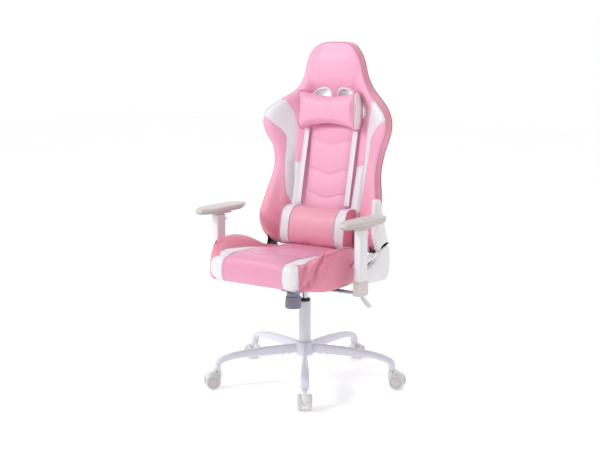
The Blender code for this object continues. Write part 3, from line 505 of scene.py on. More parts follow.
def between(stations, at):
    """A row of numbers at a place along the stations, on a smooth curve through them."""
    if at <= stations[0][0]:
        return stations[0][1:]
    if at >= stations[-1][0]:
        return stations[-1][1:]
    i = next(k for k in range(len(stations) - 1) if stations[k + 1][0] >= at)
    a, b = stations[i], stations[i + 1]
    span = b[0] - a[0]
    t = (at - a[0]) / span
    h = (2 * t ** 3 - 3 * t ** 2 + 1, t ** 3 - 2 * t ** 2 + t, 3 * t ** 2 - 2 * t ** 3, t ** 3 - t ** 2)

    def slope(k, column):
        low, high = stations[max(k - 1, 0)], stations[min(k + 1, len(stations) - 1)]
        return (high[column] - low[column]) / (high[0] - low[0])

    return tuple(h[0] * a[c] + h[1] * span * slope(i, c) + h[2] * b[c] + h[3] * span * slope(i + 1, c)
                 for c in range(1, len(a)))


def resample(path, step, closed=False):
    """Points a step apart along a path."""
    points = [Vector(p) for p in path]
    if closed:
        points.append(points[0])
    lengths = [0.0]
    for a, b in zip(points, points[1:]):
        lengths.append(lengths[-1] + (b - a).length)
    count = max(2, round(lengths[-1] / step))
    result = []
    k = 0
    for i in range(count + (0 if closed else 1)):
        at = lengths[-1] * i / count
        while k < len(points) - 2 and lengths[k + 1] < at:
            k += 1
        span = lengths[k + 1] - lengths[k]
        result.append(points[k].lerp(points[k + 1], (at - lengths[k]) / span if span > 1e-12 else 0))
    return result


def curve(points, step=0.006):
    """A smooth open path through points, by a Catmull-Rom spline."""
    points = [Vector(p) for p in points]
    ends = [points[0] * 2 - points[1]] + points + [points[-1] * 2 - points[-2]]
    fine = []
    for i in range(1, len(ends) - 2):
        p0, p1, p2, p3 = ends[i - 1:i + 3]
        for k in range(10):
            t = k / 10
            fine.append(0.5 * (2 * p1 + (p2 - p0) * t + (2 * p0 - 5 * p1 + 4 * p2 - p3) * t * t
                               + (3 * p1 - p0 - 3 * p2 + p3) * t ** 3))
    return resample(fine + [points[-1]], step)


def flat(path):
    return [tuple(p) for p in path]


def drawn(*points, step=0.006):
    """A smooth path on a flat pattern."""
    return flat(curve(points, step))


def even(outline, step):
    """A closed outline with its points a step apart."""
    return flat(resample(outline, step, True))


def mirrored(path):
    return [(-p[0], *p[1:]) for p in path]


def both(*paths):
    return list(paths) + [mirrored(p) for p in paths]


def averaged(loop, wanted=lambda p: True):
    """A closed outline whose wanted points move towards their neighbours."""
    nexts = loop[1:] + loop[:1]
    return [tuple((Vector(a) + 2 * Vector(p) + Vector(b)) / 4) if wanted(p) else p
            for a, p, b in zip(loop[-1:] + loop[:-1], loop, nexts)]


# ---------------------------------------------------------------- upholstery
def inside(points, loop):
    x, y = points[:, 0], points[:, 1]
    result = np.zeros(len(points), bool)
    for (x0, y0), (x1, y1) in zip(loop, list(loop[1:]) + [loop[0]]):
        if y0 != y1:
            result ^= ((y0 > y) != (y1 > y)) & (x < (x1 - x0) * (y - y0) / (y1 - y0) + x0)
    return result


def gap_to(points, paths):
    """Distance from each point to the nearest of some paths."""
    best = np.full(len(points), 1e3)
    for path in paths:
        for a, b in zip(path, path[1:]):
            a, d = np.array(a), np.array(b) - np.array(a)
            size = d @ d
            if size < 1e-14:
                continue
            t = np.clip(((points - a) @ d) / size, 0, 1)
            best = np.minimum(best, np.hypot(*(points - a - t[:, None] * d).T))
    return best


def dent(gap, width):
    """A smooth ridge or valley: 1 on the line and 0 far from it."""
    return np.exp(-(gap / width) ** 2)


ROW_RISE = 0.866                                     # row height over spacing in a triangular grid
BESIDE_SEAM = (-0.0056, -0.0026, 0.0026, 0.0056)     # rows of points that give a seam its shape
ROW_CLEAR, GRID_CLEAR = 0.0021, 0.0035               # how far the rows and the grid keep from other seams


def fill_panel(outline, holes, seams, spacing):
    """Triangles that fill an outline round its holes, with edges along every seam."""
    verts, edges, paths, beside = [], [], [], []
    for loop in [outline] + list(holes):
        base = len(verts)
        verts += [Vector(p) for p in loop]
        edges += [(base + k, base + (k + 1) % len(loop)) for k in range(len(loop))]
        paths.append(list(loop) + [loop[0]])
    for seam in seams:
        base = len(verts)
        verts += [Vector(p) for p in seam]
        edges += [(base + k, base + k + 1) for k in range(len(seam) - 1)]
        paths.append(seam)
        for a, b in zip(seam, seam[1:]):
            a, b = Vector(a), Vector(b)
            if (b - a).length > 1e-6:
                n = (b - a).orthogonal().normalized()
                beside += [tuple((a + b) / 2 + n * off) for off in BESIDE_SEAM]
    low, high = np.min(outline, axis=0), np.max(outline, axis=0)
    rise = spacing * ROW_RISE
    grid = np.array([(low[0] + spacing * (k + 0.5 * (r % 2)), low[1] + rise * r)
                     for r in range(int((high[1] - low[1]) / rise) + 1)
                     for k in range(int((high[0] - low[0]) / spacing) + 2)])
    points = grid[gap_to(grid, paths) > spacing * 0.6 + (GRID_CLEAR if beside else 0)]
    if beside:
        near = np.array(beside)
        points = np.vstack([near[gap_to(near, paths) > ROW_CLEAR], points])

    def kept(places):
        result = inside(places, outline)
        for hole in holes:
            result &= ~inside(places, hole)
        return result

    verts += [Vector(p) for p in points[kept(points)]]
    coords, _, faces, *_ = delaunay_2d_cdt(verts, edges, [], 0, 1e-6)
    coords = np.array([tuple(c) for c in coords])
    middles = np.array([coords[list(f)].mean(axis=0) for f in faces])
    good = kept(middles)
    return coords, [f for f, g in zip(faces, good) if g], middles[good]


def snap(path, loop):
    """A path whose start is moved to the nearest corner of a loop."""
    return [min(loop, key=lambda q: math.dist(q, path[0]))] + path[1:]


THREAD_STEP, THREAD_R = 0.0013, 0.00042
THREAD_LONG, THREAD_PITCH = 3, 4                     # a stitch covers 3 of every 4 steps


def stitches(build, path, pick=0):
    """A row of short threads along a path in space."""
    points = resample(path, THREAD_STEP)
    for k in range(0, len(points) - THREAD_LONG, THREAD_PITCH):
        ends = [points[k], points[k + THREAD_LONG // 2], points[k + THREAD_LONG]]
        build.tube(ends, [THREAD_R * 0.7, THREAD_R, THREAD_R * 0.7], 5, pick=pick)


class Cover:
    """An upholstered form: front and rear panels inside an inset outline, and a soft wall between them."""

    def __init__(self, outline, inset, holes, front, rear, rim, lift, boxy, steps):
        self.outline, self.holes, self.inner = outline, holes, grown(outline, inset)
        self.front, self.rear, self.rim, self.lift = front, rear, rim, lift
        self.boxy, self.steps, self.levels = boxy, steps, None

    def wall_point(self, i, t):
        """A point on the wall at outline corner i: t runs 0 (front) to 1 (rim) to 2 (rear)."""
        (ia, ib), (oa, ob) = self.inner[i], self.outline[i]
        if self.levels is None:
            corners = np.array(self.inner)
            self.levels = self.front(corners), self.rear(corners), [self.rim(*p) for p in self.outline]
        share = t if t <= 1 else 2 - t
        out = math.sin(share * math.pi / 2) ** self.boxy
        keep = math.cos(share * math.pi / 2) ** self.boxy if share < 1 else 0.0
        rim = self.levels[2][i]
        face = float(self.levels[0 if t <= 1 else 1][i])
        return self.lift(ia + (oa - ia) * out, ib + (ob - ib) * out, rim + (face - rim) * keep)

    def make(self, name, seams, rear_seams, pick_front, pick_rear, pick_wall, mats):
        spacing = 0.0075
        build = Build()
        for seam_set, surface, pick, gap in ((seams, self.front, pick_front, spacing),
                                             (rear_seams, self.rear, pick_rear, spacing * 1.6)):
            coords, faces, middles = fill_panel(self.inner, self.holes, seam_set, gap)
            places = [self.lift(a, b, h) for (a, b), h in zip(coords, surface(coords))]
            build.put(places, faces, pick(middles))
        levels = [k / self.steps for k in range(2 * self.steps + 1)]
        rings = [[self.wall_point(i, t) for i in range(len(self.outline))] for t in levels]
        sides = list(zip(self.outline, self.outline[1:] + self.outline[:1]))
        build.put(*loft(rings, caps=False), [pick_wall(a, b, t) for t in levels[:-1] for a, b in sides])
        for hole in self.holes:
            points = np.array(hole)
            build.put(*loft([[self.lift(a, b, h) for (a, b), h in zip(points, side(points))]
                             for side in (self.front, self.rear)], caps=False))
        thing = add(name, build.verts, build.faces, mats, build.picks)
        clean(thing.data, weld=1e-5)
        return thing

    def on(self, path, off, proud):
        """A path drawn on the front panel, moved sideways by off and out by proud."""
        points = [Vector(p) for p in path]
        moved = []
        for i, p in enumerate(points):
            along = points[min(i + 1, len(points) - 1)] - points[max(i - 1, 0)]
            n = along.orthogonal().normalized() if along.length > 1e-9 else Vector((0, 0))
            moved.append(tuple(p + n * off))
        plane = np.array(moved)
        heights = self.front(plane)
        sign = 1 if float(heights[0]) > self.rim(*plane[0]) else -1
        return [self.lift(a, b, h + sign * proud) for (a, b), h in zip(plane, heights)]

    def sew(self, rows, paths, off):
        """Two rows of stitches, one each side of every path."""
        for path in paths:
            for side in (-off, off):
                stitches(rows, self.on(path, side, .0002))


# ---------------------------------------------------------------- the back
BACK_STATIONS = [   # height, half width, front at the middle, rim, depth at the middle, depth at the rim
    (.492, .185, .125, .15, .04, .024), (.5, .218, .119, .138, .06, .04),
    (.525, .248, .118, .108, .072, .052), (.57, .263, .124, .089, .076, .058),
    (.62, .268, .135, .089, .078, .058), (.7, .254, .151, .113, .078, .055),
    (.8, .234, .172, .141, .078, .052), (.88, .246, .186, .15, .078, .054),
    (.94, .274, .196, .136, .078, .056), (.98, .281, .202, .134, .078, .056),
    (1.02, .268, .207, .139, .076, .056), (1.06, .222, .208, .168, .074, .056),
    (1.1, .168, .205, .202, .07, .052), (1.15, .139, .189, .211, .066, .046),
    (1.21, .122, .191, .211, .062, .044), (1.245, .106, .198, .209, .056, .04),
    (1.265, .09, .204, .211, .048, .034), (1.278, .072, .209, .215, .032, .024),
    (1.284, .058, .216, .222, .014, .012)]
BACK_LOW, BACK_TOP, HEAD_Z = .492, 1.284, 1.235      # the head is rounded more above HEAD_Z
GROOVE_X = 0.122
HOLE = [(.016, 1.062), (.018, 1.092), (.034, 1.106), (.07, 1.1), (.108, 1.072), (.134, 1.03),
        (.136, 1.006), (.118, .998), (.07, 1.022)]
BOLSTER_TIP = (.158, .664)                           # where the white shoulder panel ends
CENTRE_EDGE = drawn((.101, .975), (.1, .87), (.098, .8), (.095, .754), (.09, .708), (.087, .659),
                    (.084, .6), (.08, .525), step=.005)
BAND_EDGE = drawn((.124, .968), (.121, .9), (.12, .812), (.118, .74), (.115, .66), (.11, .6), (.104, .53),
                  step=.005)
WHITE_INNER = drawn((.196, 1.066), (.184, 1.04), (.173, 1.012), (.166, .982), (.161, .949), (.16, .9),
                    (.16, .822), (.158, .76), (.157, .7), BOLSTER_TIP, step=.005)
WHITE_OUTER = drawn((.272, .996), (.255, .986), (.228, .964), (.202, .938), (.191, .915), (.19, .885),
                    (.187, .83), (.181, .76), (.172, .7), (.165, .678), BOLSTER_TIP, step=.005)
STRIP_STEP = [(.16, .822), (.14, .817), (.12, .812)]
STRIP_LINE = [(.1605, .934), (.14, .929), (.1215, .924)]
STRIP_END = drawn(BOLSTER_TIP, (.153, .62), (.142, .57), (.128, .53), step=.005)
HEAD_CREASE = drawn((.107, 1.15), (.101, 1.128), (.092, 1.104), step=.005)
TOP_ARCH = drawn((-.101, .975), (-.06, .988), (0, .992), (.06, .988), (.101, .975))
REAR_SEAM = drawn((.15, .53), (.165, .7), (.15, .88), (.158, 1.00), (.12, 1.12), (.07, 1.235))
REAR_BAND = [(-.157, .74), (0, .725), (.157, .74)]


def chevron(z):
    half = .0985 - .02 * (.9 - z) * (z < .9)
    return drawn((-half, z + .022), (-.05, z + .013), (0, z), (.05, z + .013), (half, z + .022), step=.005)


def back_row(x, z):
    """Where the front, the rear and the rim of the back are along Y."""
    half, front, rim, depth, rim_depth = between(BACK_STATIONS, z)
    groove = min(GROOVE_X, half * 0.5)
    s = min(abs(x) / half, 1.0)
    rise = smoothstep((abs(x) - groove) / (half - groove))
    near = front + (rim - rim_depth / 2 - front) * rise
    far = front + depth + (rim + rim_depth / 2 - front - depth) * s ** 5
    roll = math.sqrt(max(0.0, 1 - s ** 10))
    return rim + (near - rim) * roll + COLUMN_Y, rim + (far - rim) * roll + COLUMN_Y, rim + COLUMN_Y


def back_outline():
    heights = [BACK_LOW + .0045 * k for k in range(177)]
    right = [(between(BACK_STATIONS, z)[0], z) for z in heights if z < BACK_TOP] + [(.058, BACK_TOP)]
    loop = even(right + mirrored(right[::-1]), .0055)
    for _ in range(3):
        loop = averaged(loop)
    for _ in range(26):
        loop = averaged(loop, lambda p: p[1] > HEAD_Z)
    dome, half = .0012, .075                         # the top's slight arch, and half its width
    return [(x, z + (dome * (1 - (x / half) ** 2) if z > HEAD_Z and abs(x) < half else 0)) for x, z in loop]


def make_back():
    outline = back_outline()
    mouth = grown(rounded(HOLE, 0.016, 5), 0.004)
    holes = [even([(side * x, z) for x, z in mouth], 0.0045) for side, _ in SIDES]
    centre = both(CENTRE_EDGE) + [TOP_ARCH]
    band = both(BAND_EDGE)
    chevrons = [chevron(z) for z in (.893, .779, .688, .6)]
    creases = both(HEAD_CREASE)

    def front(points):
        base = np.array([back_row(x, z)[0] for x, z in points])
        x, z = np.abs(points[:, 0]), points[:, 1]
        fade = np.clip((z - .52) / .05, 0, 1) * np.clip((.985 - z) / .03, 0, 1)
        edge = np.interp(z, [.525, .6, .659, .754, .8, .87, .975], [.08, .084, .087, .095, .098, .1, .101])
        outer = np.interp(z, [.53, .6, .66, .74, .812, .9, .968], [.104, .11, .115, .118, .12, .121, .124])
        base += fade * .0105 * dent(x - (edge + outer) / 2, .0095)           # the channel beside the centre
        to_centre, to_chevron = gap_to(points, centre + band), gap_to(points, chevrons)
        panel = (x < edge) & (z < .99)
        base -= np.where(panel, fade * .0075 * (1 - dent(gap_to(points, centre), .02)), 0)
        base -= np.where(panel, .0022 * fade * (1 - dent(to_chevron, .022)) - .0022, 0)
        base += .0024 * dent(to_chevron, .003) + .0012 * dent(to_centre, .0026)
        fold = np.interp(z, [.6, .68, .8, .88], [0, 1, .8, 0])
        fold *= np.interp(z, [.56, .64, .82, .9], [0, 1, 1, 0])
        inner = np.interp(z, [.57, .62, .664, .7, .76, .822, .9], [.142, .153, .158, .157, .158, .16, .16])
        base += fold * .01 * dent(x - inner + .001, .0062)                   # where the bolster starts
        base -= fold * .006 * dent(x - inner - .02, .012)
        strip = (x > outer) & (x < inner) & (z < .96)
        across = np.clip((x - outer) / np.maximum(inner - outer, .01), 0, 1)
        base -= np.where(strip, .0035 * fade * np.sin(across * math.pi), 0)
        base += .0016 * dent(gap_to(points, panel_seams), .0026)
        base += .005 * dent(gap_to(points, creases), .01)
        base += .0012 * dent(gap_to(points, mouths), .006)
        return base

    def rear(points):
        base = np.array([back_row(x, z)[1] for x, z in points])
        gap = gap_to(points, rear_seams)
        return base + .0025 * (1 - dent(gap, .03)) - .0022 * dent(gap, .003)

    cover = Cover(outline, -0.013, holes, front, rear, lambda x, z: back_row(x, z)[2], on_front, 0.8, 6)
    white_in, white_out = snap(WHITE_INNER, cover.inner), snap(WHITE_OUTER, cover.inner)
    white_in[-1] = white_out[-1] = BOLSTER_TIP
    panel_seams = both(white_in, white_out, STRIP_STEP, STRIP_LINE, STRIP_END)
    mouths = [h + [h[0]] for h in holes]
    rear_seams = both(REAR_SEAM) + [REAR_BAND]
    shoulder = white_in + white_out[::-1] + [(.33, .99), (.33, 1.09), (.22, 1.09)]
    strip = [(.118, .812), (.14, .817), (.16, .822), (.158, .76), (.157, .7), BOLSTER_TIP, (.153, .62),
             (.142, .57), (.128, .52), (.104, .52), (.11, .6), (.115, .66), (.118, .74)]
    pink, white, shaded, wing = range(4)

    def pick_front(points):
        folded = np.column_stack([np.abs(points[:, 0]), points[:, 1]])
        picks = np.full(len(points), pink)
        edge = np.interp(folded[:, 1], [.53, .57, .62, .664, .82, .9], [.128, .142, .153, .158, .16, .16])
        picks[(folded[:, 0] > edge) & (folded[:, 1] < .97)] = wing
        picks[inside(folded, shoulder) | inside(folded, strip)] = white
        return picks

    def pick_wall(a, b, t):
        if .996 < (a[1] + b[1]) / 2 < 1.066 and t < .45:
            return white
        # the rear half of the wall takes the painted shade
        if t > .55:
            return shaded
        return wing if abs(a[0]) > .14 and a[1] < .97 else pink

    thing = cover.make("back_cushion_cover", centre + band + chevrons + panel_seams + creases, rear_seams,
                       pick_front, lambda points: [pink] * len(points), pick_wall,
                       [PINK, WHITE, SHADED_PINK, WING_PINK])
    settle(thing, "back", PINK, "back_cushion")
    trim = Build()
    for level, radius in ((.5, .001), (1.55, .0027)):    # along the front crest and along the rear edge
        trim.tube([cover.wall_point(i, level) for i in range(len(outline))], radius, 8, True)
    trim.piece("back_piping", [PIPING], "back", sharp=180)
    rows = Build()
    cover.sew(rows, [path[2:-2] for path in both(CENTRE_EDGE)], .0042)
    cover.sew(rows, [path[1:-1] for path in chevrons], .0032)
    rows.piece("back_stitching", [THREAD], "back", sharp=180)
    rows = Build()
    cover.sew(rows, [path[3:-2] for path in both(white_in, white_out)], .0034)
    rows.piece("shoulder_stitching", [PALE_THREAD], "back", sharp=180)
    return cover


back_cover = make_back()


# ---------------------------------------------------------------- the seat
SEAT_STATIONS = [   # place from front to rear, half width, underside, top at the middle, top of the wing
    (-.3405, .165, .447, .496, .494), (-.3335, .187, .434, .51, .503), (-.3185, .203, .428, .519, .509),
    (-.2935, .222, .422, .525, .514), (-.2685, .239, .419, .527, .524), (-.2385, .254, .417, .527, .541),
    (-.21, .263, .417, .525, .552), (-.185, .266, .417, .524, .556), (-.115, .266, .417, .52, .556),
    (-.06, .262, .417, .514, .546), (-.025, .256, .417, .509, .533), (.01, .248, .417, .505, .509),
    (.03, .242, .417, .502, .5), (.055, .22, .417, .499, .493), (.076, .2, .422, .493, .488),
    (.085, .18, .44, .48, .478)]
SEAT_FRONT, SEAT_REAR = -.367, .0585
STRIPE_NEAR, STRIPE_FAR = .131, .193                 # the white stripe's edges where it goes over the front
STRIPE_IN = drawn((.133, -.32), (.136, -.27), (.137, -.2), (.139, -.14), (.143, -.09), (.149, -.03),
                  (.152, .03))
STRIPE_OUT = drawn((.1885, -.315), (.19, -.27), (.187, -.21), (.18, -.133), (.173, -.09), (.168, -.03),
                   (.166, .03))
VEE = drawn((-.128, -.232), (-.08, -.272), (-.03, -.3), (0, -.306), (.03, -.3), (.08, -.272), (.128, -.232))
WING_CREASES = [([(.206, -.3), (.222, -.255), (.228, -.225)], .0045, .006),       # path, depth and width
                ([(.196, -.235), (.208, -.215), (.215, -.19)], .0022, .007)]


def seat_row(y):
    return between(SEAT_STATIONS, y - COLUMN_Y)


def front_corner(outline, x):
    """The outline's point along the seat's front edge that is nearest to x."""
    return min(range(len(outline)), key=lambda i: abs(outline[i][0] - x) + (9 if outline[i][1] > -.3 else 0))


def seat_outline():
    ys = [SEAT_FRONT + (SEAT_REAR - SEAT_FRONT) * k / 120 for k in range(121)]
    right = [(seat_row(y)[0], y) for y in ys]
    outline = even(right + mirrored(right[::-1]), .0055)
    for _ in range(5):
        outline = averaged(outline)
    for x in (STRIPE_NEAR, -STRIPE_NEAR, STRIPE_FAR, -STRIPE_FAR):
        k = front_corner(outline, x)
        outline[k] = (x, outline[k][1])
    return outline


def make_seat():
    outline = seat_outline()

    def top(points):
        result = []
        for x, y in points:
            half, low, middle, wing = seat_row(y)
            s = abs(x) / half
            dip = -.005 * min(1.0, (middle - low) / .09) * math.exp(-((s - .64) / .12) ** 2)
            result.append(middle + (wing - middle) * smoothstep((s - .6) / .36) + dip)
        result = np.array(result)
        to_in, to_out = gap_to(points, inner_seams), gap_to(points, outer_seams)
        x, y = np.abs(points[:, 0]), points[:, 1]
        result += np.where(x < .14, .006 * (1 - dent(to_in, .045)), 0)
        result += np.where((x > .13) & (x < .19), .0028 * (1 - dent(np.minimum(to_in, to_out), .014)), 0)
        result += np.where(x > .175, .004 * (1 - dent(to_out, .02)), 0)
        result -= .002 * dent(to_in, .0032) + .0032 * dent(to_out, .0045)
        result -= .0016 * dent(gap_to(points, [VEE]), .0035)
        lip = np.clip((y + .03) / .055, 0, 1)        # the rear edge rises to meet the pillow
        result += .0095 * lip * lip * (3 - 2 * lip) * np.clip((.2 - x) / .06, 0, 1)
        for crease, deep, wide in WING_CREASES:
            result -= deep * dent(gap_to(points, both(crease)), wide)
        return result

    def under(points):
        return np.array([seat_row(y)[1] for x, y in points])

    def rim(x, y):
        half, low, middle, wing = seat_row(max(y, SEAT_FRONT + .001))
        return low + (min(wing, middle + .012) - low) * .52

    inset = [-.04 + .022 * smoothstep((y + .36) / .1) for x, y in outline]
    cover = Cover(outline, inset, [], top, under, rim, on_plan, 0.78, 9)
    edges = []
    for x, path in ((STRIPE_NEAR, STRIPE_IN), (STRIPE_FAR, STRIPE_OUT)):
        k = front_corner(outline, x)
        edges.append((k, [cover.inner[k]] + path))
    stripe_in, stripe_out = edges[0][1], edges[1][1]
    inner_seams, outer_seams = both(stripe_in), both(stripe_out)
    stripe = stripe_in + stripe_out[::-1] + [(STRIPE_FAR, -.4), (STRIPE_NEAR, -.4)]
    pink, white, shaded, cloth = range(4)

    def pick_top(points):
        folded = np.column_stack([np.abs(points[:, 0]), points[:, 1]])
        picks = np.full(len(points), pink)
        picks[inside(folded, stripe)] = white
        # painted shade on the wings' inner slopes and front corners, outside the white stripe
        picks[(folded[:, 0] > .16) & ~inside(folded, stripe) & (folded[:, 1] < .03)] = shaded
        return picks

    def pick_wall(a, b, t):
        x, y = abs(a[0] + b[0]) / 2, (a[1] + b[1]) / 2
        if t > 1.74:
            return cloth
        if y < -.32 and STRIPE_NEAR < x < STRIPE_FAR:
            return white
        # the seat's outer wall takes the painted shade
        return shaded if x > .19 else pink

    thing = cover.make("seat_cushion_cover", inner_seams + outer_seams + [VEE], [], pick_top,
                       lambda points: [cloth] * len(points), pick_wall, [SHADED_SEAT_PINK, WHITE, SHADED_PINK, DUST_COVER])
    crease_wall(cover, thing)
    settle(thing, "seat", SHADED_SEAT_PINK, "seat_cushion")
    trim, mauve = Build(), Build()
    crest = [k for k in range(len(outline)) if outline[k][0] > 0 and -.29 < outline[k][1] < .035]
    crest.sort(key=lambda k: outline[k][1])
    for side, _ in SIDES:
        for k, path in edges:
            over = [(side * x, y) for x, y in path[::-1]]
            down = [cover.wall_point(k, t / 8) for t in range(1, 14)]
            trim.tube(cover.on(over, 0, .0006) + [Vector((side * p.x, p.y, p.z)) for p in down], .0015)
        ridge = [cover.wall_point(k, .22) for k in crest]
        mauve.tube([Vector((side * p.x, p.y, p.z)) for p in ridge], .0017)
    trim.piece("seat_stripe_piping", [GREY_PIPING], "seat", sharp=180)
    mauve.piece("seat_wing_piping", [PIPING], "seat", sharp=180)
    rows = Build()
    for path in both(stripe_in[1:]):
        for off in (.0045, -.0045):
            stitches(rows, cover.on(path, off, .0002))
    stitches(rows, cover.on(VEE, .0032, .0002))
    rows.piece("seat_stitching", [THREAD], "seat", sharp=180)


def crease_wall(cover, thing):
    """Gathered folds at the wings' front ends: the wall moves in along two folds and out along a ridge."""
    def wall_line(y0, t0, y1, t1):
        path = []
        for k in range(17):
            y, t = y0 + (y1 - y0) * k / 16, t0 + (t1 - t0) * k / 16
            i = min(range(len(cover.outline)),
                    key=lambda n: abs(cover.outline[n][1] - y) + (9 if cover.outline[n][0] < .15 else 0))
            path.append(cover.wall_point(i, t))
        return path

    folds = [(wall_line(-.262, .1, -.352, 1.62), .015, .0075),
             (wall_line(-.318, .1, -.361, 1.55), .01, .006),
             (wall_line(-.215, .3, -.338, 1.7), -.006, .017)]
    inward = Vector((-.7, .7, 0)).normalized()
    for vertex in thing.data.vertices:
        p = vertex.co
        if abs(p.x) < .15 or p.y > -.18:
            continue
        q = Vector((abs(p.x), p.y, p.z))
        move = sum(deep * math.exp(-(min((q - point).length for point in path) / wide) ** 2)
                   for path, deep, wide in folds)
        p.x += math.copysign(1, p.x) * inward.x * move
        p.y += inward.y * move


make_seat()


# ---------------------------------------------------------------- pillows and straps
SIM_FRAMES, PRESSURE = 20, 4.0


def inflate(thing, cap, limit):
    """Blender's cloth blows the form up; no point moves further than cap or past limit."""
    mesh = thing.data
    rest = [v.co.copy() for v in mesh.vertices]
    cloth = thing.modifiers.new("cloth", "CLOTH")
    settings = cloth.settings
    settings.quality, settings.mass = 5, 0.25
    settings.tension_stiffness = settings.compression_stiffness = 18
    settings.shear_stiffness, settings.bending_stiffness = 6, 0.4
    settings.use_pressure, settings.uniform_pressure_force = True, PRESSURE
    settings.effector_weights.gravity = 0
    cloth.point_cache.frame_start, cloth.point_cache.frame_end = 1, SIM_FRAMES
    for number in range(1, SIM_FRAMES + 1):
        scene.frame_set(number)
    solved = thing.evaluated_get(bpy.context.evaluated_depsgraph_get())
    moved = [v.co.copy() for v in solved.to_mesh().vertices]
    solved.to_mesh_clear()
    thing.modifiers.remove(cloth)
    scene.frame_set(1)
    for vertex, a, b in zip(mesh.vertices, rest, moved):
        step = b - a
        if step.length > cap:
            step *= cap / step.length
        vertex.co = a + step
    for vertex in mesh.vertices:
        vertex.co = limit(vertex.co)
    mesh.update()


def subdivided(thing):
    modifier = thing.modifiers.new("smooth", "SUBSURF")
    modifier.levels = modifier.render_levels = 1
    done = bpy.data.meshes.new_from_object(thing.evaluated_get(bpy.context.evaluated_depsgraph_get()))
    thing.modifiers.remove(modifier)
    old = thing.data
    thing.data = done
    bpy.data.meshes.remove(old)
    thing.data.polygons.foreach_set("use_smooth", [True] * len(thing.data.polygons))


def back_front(x, z):
    return back_row(x, z)[0]


CLEAR = .004                                         # between a pillow's rear and the back
# each has its half width, foot, top, depth, waist's pinch, ends' share of the depth and squareness, then its
# fill, the cap on its swelling, its materials, its piping, and where its white band starts and ends
PILLOWS = (
    ("head", (.127, .95, 1.101, .062, .0185, .98, .74), .75, .006, [PINK, MESH], SHADED_PINK, None),
    # the lumbar pillow's end gussets carry the painted shade
    ("lumbar", (.146, .508, .658, .081, 0.0, .9, .55), .8, .007, [LUMBAR_PINK, WHITE, SHADED_PINK], GREY_PIPING,
     (.104, .141)))


def make_pillow(label, form, fill, cap, mats, piping, band):
    """A stuffed pillow: sections along X, with a flat gusset closing each end."""
    half, low, high, depth, waist, ends, firm = form
    count, slices = 36, 43
    places = [half * math.copysign(1 - (1 - abs(t)) ** 1.25, t) for t in [k / 21 - 1 for k in range(slices)]]
    rings = []
    for x in places:
        s = abs(x) / half
        pinch = waist * (1 - s ** 1.6)
        z0, z1 = low + pinch, high - pinch
        middle, tall = (z0 + z1) / 2, (z1 - z0) / 2
        thick = depth * (1 - (1 - ends) * s ** 3)
        square = firm - 0.12 * s ** 4
        ring = []
        for c, d in circle(count):
            z = middle + tall * squarer(d, square)
            rear = min(back_front(x, z), back_front(x, middle) + .02) - CLEAR
            facing = -squarer(c, square)
            share = .34 + .66 * facing if facing > 0 else .34 + .34 * facing
            ring.append(Vector((x, rear - thick * share, z)))
        rings.append(ring)
    verts, faces = loft(rings, caps=False)
    middles = [(a + b) / 2 for a, b in zip(places, places[1:])]
    picks = [1 if band and band[0] < abs(x) < band[1] else 0 for x in middles for _ in range(count)]
    gusset = len(mats) - 1
    for ring, start, side in ((rings[0], 0, -1), (rings[-1], (slices - 1) * count, 1)):
        edge = list(range(start, start + count))
        centre = sum((verts[i] for i in edge), Vector()) / count
        for share in (.82, .6, .36, .14):           # rings that shrink to the middle of the gusset
            base = len(verts)
            bulge = Vector((side * .006 * (1 - share * share), 0, 0))
            verts += [centre + (p - centre) * share + bulge for p in ring]
            inner = list(range(base, base + count))
            faces += [(edge[k - 1], edge[k], inner[k], inner[k - 1]) for k in [*range(1, count), 0]]
            picks += [gusset] * count
            edge = inner
        faces.append(edge)
        picks.append(gusset)
    name = label + "_pillow_cover"
    thing = add(name, verts, faces, mats, picks)

    def limit(p):
        return Vector((p.x, min(p.y, back_front(p.x, p.z) - CLEAR * .6), max(low, min(high, p.z))))

    inflate(thing, cap, limit)
    trims = [0, slices - 1]
    if band:
        trims += [min(range(slices), key=lambda k: abs(places[k] - x)) for x in (-band[0], band[0])]
    lines = [[thing.data.vertices[row * count + k].co.copy() for k in range(count)] for row in trims]
    subdivided(thing)
    settle(thing, "back", mats[0], label + "_pillow")
    build = Build()
    for line in lines:
        middle = sum(line, Vector()) / len(line)
        build.tube([p + (p - middle).normalized() * .0006 for p in line], .0016, 7, True)
    build.piece(name + "_piping", [piping], "back", sharp=180)


def make_strap(label, start):
    """A taut band of white webbing from the head pillow down to the lumbar pillow."""
    foot, top, rows, half = .664, .949, 40, .011
    edge = [(-half, 0), (-.0106, -.0012), (-.0088, -.0014), (-.008, -.001)]
    profile = edge + mirrored(edge[::-1]) + [(.0104, .0006), (-.0104, .0006)]
    rings = []
    for k in range(rows + 1):
        z = foot + (top - foot) * k / rows
        x = start + .02 * (z - foot)
        bow = .0038 + .0035 * math.sin(math.pi * k / rows)
        y = min(back_front(x - half, z), back_front(x + half, z)) - bow
        rings.append([Vector((x + a, y + b, z)) for a, b in profile])
    build = Build().put(*loft(rings))
    for z in (.672, .941):                           # the sewn bars where the band is folded back on itself
        ring = rings[round((z - foot) / (top - foot) * rows)]
        centre = ring[0].lerp(ring[7], .5) + Vector((0, -.0012, 0))
        for row in (-.003, .003):
            stitches(build, [centre + Vector((a, -.0004, row)) for a in (-.0095, 0, .0095)], pick=1)
    build.piece("strap_band_" + label, [WEBBING, PALE_THREAD], "back", "strap_" + label, sharp=50)


